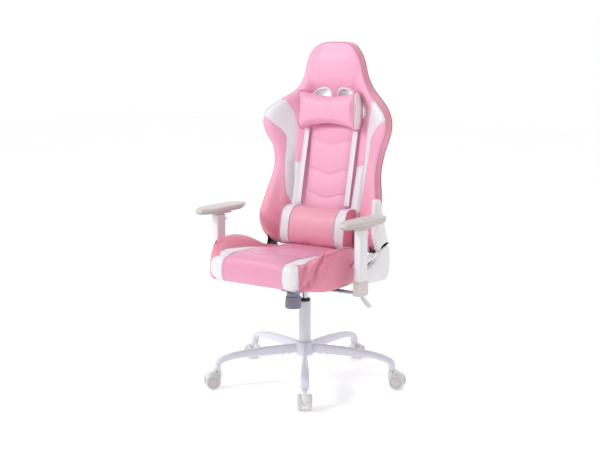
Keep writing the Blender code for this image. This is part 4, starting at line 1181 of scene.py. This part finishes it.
def make_bezel(side, label):
    """The moulded rim through a harness hole."""
    outline = even([(side * x, z) for x, z in rounded(HOLE, .016, 6)], .004)
    rim_line = np.array(grown(outline, .006))
    front, rear = back_cover.front(rim_line), back_cover.rear(rim_line)
    lip = [(0.0, -.0005), (.0008, -.0026), (.003, -.004), (.0058, -.0034), (.0082, -.0012), (.0088, .0008),
           (.0042, .0016)]
    rings = []
    for face, way, rows in ((front, 1, lip), (rear, -1, lip[::-1])):
        rings += [[Vector((a, y + way * step, b)) for (a, b), y in zip(grown(outline, off), face)]
                  for off, step in rows]
    build = Build().put(*hoop(rings))
    screw = facing_down(side * .03, float(front.min()) + .032, 1.1005)
    build.turned([(0, .0016), (.0016, .0022), (.003, .0018), (.0036, 0), (0, 0)], 20, screw, 1)
    build.piece("harness_rim_" + label, [WHITE_PLASTIC, BLACK_PLASTIC], "back", "harness_bezel_" + label,
                sharp=50)


for pillow in PILLOWS:
    make_pillow(*pillow)
make_strap("left", .0971)
make_strap("right", -.1229)
for hole_side, hole_label in SIDES:
    make_bezel(hole_side, hole_label)


# ---------------------------------------------------------------- base, column and casters
LEG_TOP, LEG_BEND, BEND_FOOT, LEG_END, STEM_R = .127, .215, .088, .0735, .344
WHEEL_R, WHEEL_WIDE, TRAIL, FORK_HALF = .029, .017, .021, .009


def leg_place(n):
    t = math.radians(33.9 + 72 * n)
    return COLUMN @ Matrix.Rotation(math.atan2(-math.cos(t), math.sin(t)), 4, "Z")


def make_leg(n):
    """An oval tube, welded to the hub, that runs level, bends down and ends in a collar for its caster."""
    turn, sides, level = leg_place(n), 32, LEG_TOP - .004
    path = [(.033, LEG_TOP), (.06, LEG_TOP - .0003), (.1, LEG_TOP - .001), (.16, LEG_TOP - .002),
            (LEG_BEND, level)]
    wide, tall = STEM_R - LEG_BEND, level - BEND_FOOT
    for a in [math.pi / 2 * k / 14 for k in range(1, 15)]:
        path.append((LEG_BEND + wide * math.sin(a), BEND_FOOT + tall * math.cos(a)))
    path += [(STEM_R, LEG_END + .002), (STEM_R, LEG_END)]
    rings = []
    for i, (r, z) in enumerate(path):
        before, after = Vector(path[max(i - 1, 0)]), Vector(path[min(i + 1, len(path) - 1)])
        along = (after - before).normalized()
        across = Vector((along.y, -along.x))
        run = smoothstep((r - .12) / (STEM_R - .12))
        half_wide, half_tall = .0095 + .007 * run, .0185 - .007 * run
        shrink = .93 if i == len(path) - 1 else 1.0
        ring = []
        for c, s in circle(sides):
            spot = Vector((r, z)) - across * half_tall * squarer(s, .8) * shrink
            ring.append(turn @ Vector((spot.x, half_wide * squarer(c, .72) * shrink, spot.y)))
        rings.append(ring)
    build = Build().put(*loft(rings))
    build.turned([(.0095, LEG_END + .001), (.0135, LEG_END + .0008), (.0142, LEG_END - .001),
                  (.0128, LEG_END - .002), (.0095, LEG_END - .002)], sides,
                 turn @ Matrix.Translation((STEM_R, 0, 0)))
    bead = [turn @ Vector((.0352 + .0006 * math.cos(9 * math.tau * k / 40), .0105 * c, LEG_TOP + .0188 * s))
            for k, (c, s) in enumerate(circle(40))]
    build.tube(bead, .0019, 8, True)
    for r in (.062, .088):
        build.bolt(.0038, .0042, turn @ facing_down(r, 0, LEG_TOP - .018), 1)
    build.piece("leg_%d" % (n + 1), [PAINT, CHROME], "base", "base_leg_%d" % (n + 1), sharp=55)


def make_column():
    build = Build().turned([(.024, .1515), (.033, .152), (.0352, .1505), (.036, .147), (.036, .106),
                            (.035, .1025), (.0325, .1002), (.024, .1002)], 56)
    build.turned([(.024, .1522), (.0285, .152), (.0265, .1545), (.024, .156)], 48)
    build.piece("hub_ring", [PAINT], "base", "base_hub")
    build = Build().turned([(0, .1015), (.0222, .1005), (.0235, .1015), (.0235, .307), (.0231, .3098),
                            (.0222, .3108), (.0214, .3108), (.0214, .16), (0, .16)], 56)
    build.piece("column_sleeve", [PAINT], "base", "column_tube")
    build = Build().turned([(.0143, .3218), (.019, .322), (.0205, .321), (.0213, .319), (.0213, .3135),
                            (.0222, .3128), (.0222, .3114), (.0212, .3112), (.0212, .265), (.0143, .265)], 56)
    build.piece("column_collar", [BLACK_PLASTIC], "base", "column_bushing")


def make_caster(n):
    turn = leg_place(n) @ Matrix.Translation((STEM_R, 0, 0))
    hood = rounded([(-.0145, .036), (-.0135, .07), (.012, .0715), (.034, .06), (.0475, .04), (.034, .016),
                    (.012, .0105)], [.008, .008, .012, .014, .012, .01, .008], 5)
    build = Build().slab(hood, [(-.0016, -FORK_HALF + .0008), (0, -FORK_HALF + .0022), (0, FORK_HALF - .0022),
                                (-.0016, FORK_HALF - .0008)], lambda a, b, y: turn @ on_front(a, b, y))
    build.turned([(0, .06), (.0098, .06), (.0108, .0612), (.0108, .0722), (.0055, .0728), (.0055, .086),
                  (.0045, .0875), (0, .0875)], 28, turn, 1)
    axle, reach = turn @ Matrix.Translation((TRAIL, 0, WHEEL_R)), FORK_HALF + .01
    build.turned([(0, -reach), (.0038, -reach), (.0038, reach), (0, reach)], 20,
                 axle @ Matrix.Rotation(math.pi / 2, 4, "X"), 1)
    build.piece("caster_hood_%d" % (n + 1), [WHITE_PLASTIC, CHROME], "caster_%d" % (n + 1),
                "caster_fork_%d" % (n + 1), sharp=50)
    for label, side in (("a", 1), ("b", -1)):
        inner = axle @ Matrix.Translation((0, side * (FORK_HALF + .0005), 0))
        make_wheel("%d%s" % (n + 1, label), inner @ Matrix.Rotation(-side * math.pi / 2, 4, "X"))


def make_wheel(label, place):
    w, r = WHEEL_WIDE, WHEEL_R
    tread = [(.0042, .0005), (r - .004, .0005), (r - .0015, .0014), (r - .0002, .0042), (r, .0085),
             (r - .0003, w - .005), (r - .0018, w - .0018), (r - .0045, w - .0004), (r - .0062, w - .0006),
             (r - .0068, w - .003), (.015, w - .0032), (.0042, w - .0032)]
    build = Build().turned(tread, 48, place)
    build.turned([(0, w + .0002), (.006, w), (.013, w - .0008), (.0186, w - .0022), (.02, w - .0036),
                  (.02, w - .0046), (0, w - .0046)], 40, place, 1)
    rib = rounded([(.0065, -.0011), (.0165, -.0016), (.0165, .0016), (.0065, .0011)], .0008, 2)
    for k in range(6):                               # raised ribs on the disc, so that a turning wheel shows
        spin = place @ Matrix.Rotation(math.tau * k / 6, 4, "Z")
        build.slab(rib, [(0, w - .004), (0, w - .0006), (-.0005, w - .0001)],
                   lambda a, b, z: spin @ on_plan(a, b, z), 1)
    build.piece("wheel_" + label, [TREAD, DISC_PLASTIC], "wheel_" + label, "caster_wheel_" + label)


for leg in range(5):
    make_leg(leg)
make_column()
for leg in range(5):
    make_caster(leg)
cylinder = Build().turned([(0, .3775), (.0132, .3775), (.014, .3768), (.014, .1505), (.0132, .15),
                           (.006, .15), (.006, .345), (0, .345)], 48)
cylinder.piece("lift_cylinder", [CHROME], "lift", "gas_cylinder")


# ---------------------------------------------------------------- mechanism and levers
ARM_X, ARM_Y = .318, -.1455
KNOB_Y, LEVER_Y = -.1045, -.0565


def make_knob():
    flutes, flute_depth = 22, .045
    place = Matrix.Translation((0, KNOB_Y, 0))
    profile = [(0, .2968), (.019, .2968), (.021, .2975), (.0275, .2972), (.0298, .299), (.0307, .303),
               (.0308, .309), (.029, .334), (.0284, .3395), (.0272, .3425), (.0256, .3434), (.025, .3436),
               (.025, .358), (0, .358)]
    verts, faces = turned(profile, flutes * 6, place)
    shaped = []
    for v in verts:
        d = Vector((v.x, v.y - KNOB_Y))
        if .299 < v.z < .3415 and d.length > .027:
            d *= 1 - flute_depth * (.5 + .5 * math.cos(math.atan2(d.y, d.x) * flutes)) ** 2
        shaped.append(Vector((d.x, d.y + KNOB_Y, v.z)))
    build = Build().put(shaped, faces)
    build.turned([(0, .3685), (.0058, .3685), (.0058, .358), (0, .358)], 24, place, 1)
    build.piece("tension_grip", [KNOB_PLASTIC, BLACK_STEEL], "knob", "tension_knob", sharp=35)


def make_height_lever():
    y, slices, sides = LEVER_Y, 18, 28
    build = Build().tube(curve([(.0285, y, .373), (.12, y, .373), (.22, y, .373), (.256, y, .3725),
                                (.264, y, .37), (.269, y, .3655)]), .0039, 14, pick=1)
    start, end = Vector((.261, y, .3728)), Vector((.3075, y, .3275))
    along = (end - start).normalized()
    outwards = Vector((along.z, 0, -along.x))
    rings = []
    for t in [k / slices for k in range(slices + 1)]:
        swell = .0058 + .0082 * smoothstep(t * 1.9)
        thin = .0048 + .0012 * smoothstep(t * 2) - .001 * smoothstep((t - .7) / .3)
        close = (math.sqrt(max(.02, 1 - max(0, (t - .86) / .14) ** 2))
                 * math.sqrt(max(.05, 1 - max(0, (.06 - t) / .06) ** 2)))
        ring = []
        for c, d in circle(sides):
            dish = .0011 * smoothstep((t - .3) / .2) * (1 - abs(c)) * (1 if d < 0 else 0)
            ring.append(start.lerp(end, t) + Vector((0, squarer(c, .7) * swell * close, 0))
                        + outwards * (squarer(d, .7) * thin * close + dish))
        rings.append(ring)
    build.put(*loft(rings))
    build.piece("lift_paddle", [WHITE_PLASTIC, PAINT], "lift_lever", "height_lever", sharp=50)


def make_mechanism():
    """The pressed steel housing with its bolts, and the bolts under the seat."""
    low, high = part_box("mechanism_housing")
    w, y0, y1, z0, z1 = high.x, low.y, high.y, low.z, high.z
    levels = [(-.0045, z0 + .0006), (-.0015, z0 + .0012), (-.0004, z0 + .004), (-.0002, z1 - .003),
              (-.0002, z1 - .0004), (-.003, z1 - .0004)]
    build = Build().slab(rounded([(-w, y0), (w, y0), (w, y1), (-w, y1)], .01, 5), levels, on_plan)
    build.turned([(.0146, z0 + .001), (.02, z0 + .0008), (.0215, z0 - .0002), (.021, z0 - .001),
                  (.0146, z0 - .001)], 36)
    for y in (y0 + .018, y1 - .016):
        for x in (-.03, .03):
            build.bolt(.0042, .004, facing_down(x, y, z0 + .0006), 1)
    build.piece("mechanism_shell", [MAUVE_PAINT, CHROME], "swivel", "mechanism_housing", sharp=35)
    low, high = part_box("seat_plate")
    build = Build()
    for x in (-.072, .072):
        for y in (low.y + .016, high.y - .016):
            build.bolt(.0052, .0048, facing_down(x, y, .4063))
    for side, _ in SIDES:
        for x in (.118, .152):                       # through the arm brackets
            build.bolt(.005, .0046, facing_down(side * x, ARM_Y, .3958))
        for x in (.125, .165, .205):                 # through the recliner brackets' flanges
            build.bolt(.0044, .0042, facing_down(side * x, .0465, .4058))
    build.piece("underseat_bolts", [CHROME], "seat", sharp=35)


make_knob()
make_height_lever()
make_mechanism()


# ---------------------------------------------------------------- recliner, covers and release lever
PIVOT = (.112, .478)                                 # the recline axis, Y from the column's axis
COVER_IN, COVER_OUT, COVER_EDGE = .271, .29, .0075
LOWER_PLATE, UPPER_PLATE = (.2265, .2315), (.232, .237)


def shift(points):
    return [(a + COLUMN_Y, b) for a, b in points]


def cover_levels():
    """Growth and X of a cover: straight side walls, then a round edge onto the outer face."""
    rows = [(-.0004, COVER_IN), (0, COVER_IN + .0006), (0, COVER_OUT - COVER_EDGE)]
    for a in [math.pi / 2 * k / 6 for k in range(1, 7)]:
        rows.append((-COVER_EDGE * (1 - math.cos(a)), COVER_OUT - COVER_EDGE + COVER_EDGE * math.sin(a)))
    return rows


def plate_levels(side, near, far):
    """Growth and X of a flat plate with slightly eased edges."""
    return [(-.0006, side * near), (0, side * (near + .0005)), (0, side * (far - .0005)),
            (-.0006, side * far)]


def make_lower_cover():
    shape = shift([(-.032, .412), (.124, .403), (.141, .43), (.146, .476), (.142, .52)]
                  + arc(PIVOT, .058, 66, 138, 4) + [(.052, .512), (.036, .486), (.006, .476), (-.032, .464)])
    radii = [.012, .016, .02, .02, .016] + [.006] * 4 + [.009, .012, .012, .014, .012]
    build = Build().slab(even(rounded(shape, radii, 5), .004), cover_levels(), on_side)
    raised = rounded(shift([(-.018, .425), (.112, .417), (.126, .44), (.13, .478), (.122, .506), (.1, .519),
                            (.074, .512), (.056, .49), (.036, .472), (.01, .463), (-.018, .452)]), .009)
    build.slab(raised, [(0, COVER_OUT - .0012), (0, COVER_OUT), (-.001, COVER_OUT + .0006),
                        (-.003, COVER_OUT + .0008)], on_side)
    build.turned([(0, .0012), (.0015, .0022), (.0036, .002), (.0044, .0006), (.0044, -.001), (0, -.001)], 24,
                 facing_out(COVER_OUT - .0008, .06, .424), 1)
    build.piece("side_cover_lower", [WHITE_PLASTIC, CHROME], "seat", "recliner_cover_lower", sharp=32)


def make_upper_cover():
    shape = shift(arc(PIVOT, .062, 66, 140, 4) + [(.03, .58), (.033, .65), (.038, .716), (.074, .712),
                                                  (.09, .64), (.12, .575)])
    radii = [.009] + [.006] * 3 + [.009, .02, .02, .013, .014, .03, .03]
    build = Build().slab(even(rounded(shape, radii, 5), .004), cover_levels(), on_side)
    x = COVER_OUT + .0002
    ridge = [(.0335, .7), (.03, .655), (.024, .6), (.033, .56), (.048, .548)]
    build.tube(curve([(x, y, z) for y, z in ridge], .004), .0011)
    build.piece("side_cover_upper", [WHITE_PLASTIC], "back", "recliner_cover_upper", sharp=32)


def make_release_lever():
    x, hub = COVER_IN, (.018, .508)
    shape = shift(arc(hub, .014, 60, -70, 8) + [(-.028, .482), (-.098, .48), (-.106, .488), (-.098, .496),
                                                (-.028, .502), (.006, .516)])
    build = Build().slab(rounded(shape, [.001] * 9 + [.02, .006, .004, .006, .02, .006]),
                         [(-.0022, x + .0002), (-.0006, x + .001), (0, x + .003), (0, x + .0105),
                          (-.001, x + .0128), (-.0032, x + .0138)], on_side)
    build.turned([(0, .015), (.005, .0148), (.0066, .0138), (.007, .012), (0, .012)], 28,
                 facing_out(x, *shift([hub])[0]), 1)
    build.piece("release_handle", [WHITE_PLASTIC, CHROME], "release_lever", "recline_lever", sharp=32)


def make_hinge(side, label):
    near, far = LOWER_PLATE
    shape = shift(arc(PIVOT, .032, -20, 200, 28) + [(.058, .44), (.058, .4055), (.142, .4055)])
    build = Build().slab(rounded(shape, [.001] * 29 + [.01, .002, .002], 3), plate_levels(side, near, far),
                         on_side)
    flange = block(side * .169, .0465, side * .059, .013, .004, 3)
    build.slab(flange, [(-.0005, .406), (0, .4064), (0, .4099), (-.0005, .4103)], on_plan)
    for y, z in shift([(.076, .436), (.118, .424)]):
        build.bolt(.0052, .0048, facing_out(side * (near - .0002), y, z, -side), 1)
    build.piece("hinge_lower_" + label, [BLACK_STEEL, CHROME], "seat", "recliner_lower_" + label, sharp=35)
    near, far = UPPER_PLATE
    shape = shift(arc(PIVOT, .036, -180, 0, 28) + [(.148, .486), (.137, .506), (.137, .62), (.087, .62),
                                                   (.087, .506), (.076, .486)])
    build = Build().slab(rounded(shape, [.001] * 29 + [.004, .01, .006, .006, .01, .004], 3),
                         plate_levels(side, near, far), on_side)
    build.turned([(.0066, 0), (.025, 0), (.0262, .0008), (.0262, .0026), (.0246, .0036), (.015, .004),
                  (.013, .0052), (.0066, .0052)], 48, facing_out(side * far, *shift([PIVOT])[0], side))
    build.piece("hinge_upper_" + label, [BLACK_STEEL, CHROME], "back", "recliner_upper_" + label, sharp=35)


make_lower_cover()
make_upper_cover()
make_release_lever()
for hinge_side, hinge_label in SIDES:
    make_hinge(hinge_side, hinge_label)


# ---------------------------------------------------------------- arms
PAD_MIDDLE, PAD_LONG, PAD_HALF = -.1325, .137, .044
SLEEVE_X, SLEEVE_Y, FOOT_GROWTH = .014, .025, .0035


def make_bracket(side, label):
    x, inner, doubled = side * ARM_X, side * .1, side * .17
    outer = x + side * .009
    bar = block((inner + outer) / 2, ARM_Y, abs(outer - inner) / 2, .019, .003, 3)
    build = Build().slab(bar, [(-.0012, .396), (0, .397), (0, .4005), (-.0012, .4015)], on_plan)
    build.slab(block(x, ARM_Y, .0085, .019, .003), [(0, .401), (0, .4392), (-.001, .44)], on_plan)
    plate = block((inner + doubled) / 2, ARM_Y, abs(doubled - inner) / 2, .017, .003)
    build.slab(plate, [(0, .4012), (0, .4103)], on_plan)
    for y in (ARM_Y - .009, ARM_Y + .009):
        build.tube([(side * .175, y, .4013), (side * .27, y, .4013)], .0022, 12)
    build.piece("arm_bar_" + label, [PAINT], "seat", "arm_bracket_" + label, sharp=35)


def make_sleeve(side, label):
    """The post's sleeve, open at its top, with a flared foot and two ribs down its outer face."""
    x = side * ARM_X
    sections = [(.3925, SLEEVE_X + FOOT_GROWTH - .0018, SLEEVE_Y + FOOT_GROWTH - .0018, .004)]
    for z, flare in ((.3937, 1.0), (.4012, 1.0), (.4312, 1.0), (.4372, .96), (.4422, .55), (.4462, .12),
                     (.4502, 0), (.5012, 0), (.5612, 0), (.628, 0)):
        sections.append((z, SLEEVE_X + FOOT_GROWTH * flare, SLEEVE_Y + FOOT_GROWTH * flare, .0055))
    sections += [(.6292, .0134, .0244, .005), (.63, .0124, .0234, .004), (.6296, .011, .022, .003),
                 (.56, .0109, .0219, .003), (.45, .0109, .0219, .003)]
    rows = [[on_plan(a, b, z) for a, b in block(x, ARM_Y, half_x, half_y, radius)]
            for z, half_x, half_y, radius in sections]
    verts, faces = loft(rows)
    foot_end = 6 * len(rows[0])
    build = Build().put(verts, faces, [2 if min(f) < foot_end else 0 for f in faces])
    face = x + side * SLEEVE_X
    for y in (-.015, .015):
        levels = [(0, face - side * .001), (0, face + side * .0003), (-.0005, face + side * .0008)]
        build.slab(block(ARM_Y + y, .537, .0011, .075, .001, 2), levels, on_side)
    build.turned([(0, .0046), (.0022, .0048), (.0042, .0046), (.0052, .004), (.0054, .003), (0, .003)], 28,
                 facing_out(face - side * .0003, ARM_Y, .42, side), 1)
    build.piece("arm_post_shell_" + label, [WHITE_PLASTIC, CHROME, FOOT_PLASTIC], "seat",
                "arm_sleeve_" + label, sharp=35)


def make_inner_column(side, label):
    x = side * ARM_X
    build = Build().slab(block(x, ARM_Y, .0104, .0214, .003),
                         [(-.001, .453), (0, .454), (0, .633), (-.0006, .6344)], on_plan)
    for k in range(8):                               # the height stops up the rear of the column
        stop = block(x, .473 + .018 * k, .005, .003, .001, 2)
        build.slab(stop, [(0, ARM_Y + .0205), (0, ARM_Y + .0216)], on_front)
    build.piece("arm_inner_column_" + label, [PALE_PLASTIC], "arm_post_" + label, "arm_column_" + label,
                sharp=35)


def make_pad(side, label):
    """The swivel plate and the pad: level top, soft crowned edge and tapered blunt ends."""
    x, body = side * ARM_X, "armrest_" + label
    plate = Build().slab(block(x, ARM_Y, .026, .05, .01),
                         [(-.002, .635), (0, .6362), (0, .6405), (-.001, .6415)], on_plan)
    plate.piece("arm_swivel_plate_" + label, [PALE_PLASTIC], body, "arm_pad_base_" + label, sharp=35)
    half, blunt, straight = PAD_HALF, PAD_HALF * .36, PAD_LONG * .6
    right = [(half, -straight), (half, straight), (blunt, PAD_LONG)]
    corners = right + mirrored(right[::-1]) + [(-blunt, -PAD_LONG), (blunt, -PAD_LONG)]
    outline = even(rounded([(x + a, PAD_MIDDLE + b) for a, b in corners], .009), .004)
    build = Build().slab(outline, [(-.014, .6425), (-.011, .6425), (-.01, .643), (-.001, .6498),
                                   (-.0002, .6508), (-.0006, .6514), (-.003, .6514)], on_plan, 1)
    build.slab(outline, [(-.003, .6512), (-.0006, .6514), (0, .6522), (0, .6575), (-.0008, .66),
                         (-.0028, .6625), (-.0058, .6643), (-.009, .6652), (-.013, .6655)], on_plan)
    build.piece("arm_pad_top_" + label, [PALE_PLASTIC, PAD_UNDER], body, "arm_pad_" + label, sharp=35)


def make_button(side, label):
    x = side * ARM_X
    low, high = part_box("arm_button_" + label)
    back = high.y
    plate = block(x, (low.z + high.z) / 2, .0072, (high.z - low.z) / 2 - .0003, .0035, 4)
    levels = [(0, low.y + .0005), (0, back - .0022), (-.0006, back - .0008), (-.002, back)]
    build = Build().slab(plate, levels, on_front)
    trigger = rounded([(back - .001, .6065), (back + .005, .605), (back + .0125, .6085), (back + .013, .613),
                       (back + .006, .615), (back - .001, .617)], .0024)
    build.slab(trigger, [(-.0012, x - .0062), (0, x - .005), (0, x + .005), (-.0012, x + .0062)], on_side)
    build.piece("arm_catch_" + label, [WHITE_PLASTIC], "arm_latch_" + label, "arm_button_" + label, sharp=35)


for arm_side, arm_label in SIDES:
    make_bracket(arm_side, arm_label)
    make_sleeve(arm_side, arm_label)
    make_inner_column(arm_side, arm_label)
    make_pad(arm_side, arm_label)
    make_button(arm_side, arm_label)


# ---------------------------------------------------------------- finishes on the CAD nodes that stay in view
KEPT = {"piston_rod": CHROME, "tilt_pin": CHROME, "sync_rod": BLACK_STEEL, "seat_pan": BLACK_STEEL,
        "seat_plate": BLACK_STEEL, "back_frame": BLACK_STEEL}
for node_name, finish in KEPT.items():
    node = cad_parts[node_name]
    if not node.material_slots:
        node.data.materials.append(finish)
    for material_slot in node.material_slots:
        material_slot.material = finish
    node.data.polygons.foreach_set("use_smooth", [True] * len(node.data.polygons))
    node.data.set_sharp_from_angle(angle=math.radians(35))


# ---------------------------------------------------------------- floor
def make_floor():
    """A pale studio floor, a hair below the wheels, that glows faintly so that it meets the white studio."""
    size, drop = 14, 0.0005
    s = Shader("studio_floor")
    mat = s.finish(s.blend(s.noise(1.5), rgb("fbfbfc"), rgb("fefefe")), 0.65, Emission_Color=(1, 1, 1, 1),
                   Emission_Strength=0.2)
    mesh = bpy.data.meshes.new("floor")
    bm = bmesh.new()
    bmesh.ops.create_grid(bm, x_segments=8, y_segments=8, size=size)
    bm.to_mesh(mesh)
    bm.free()
    mesh.materials.append(mat)
    floor = bpy.data.objects.new("floor", mesh)
    scene.collection.objects.link(floor)
    floor.location.z = -drop


make_floor()
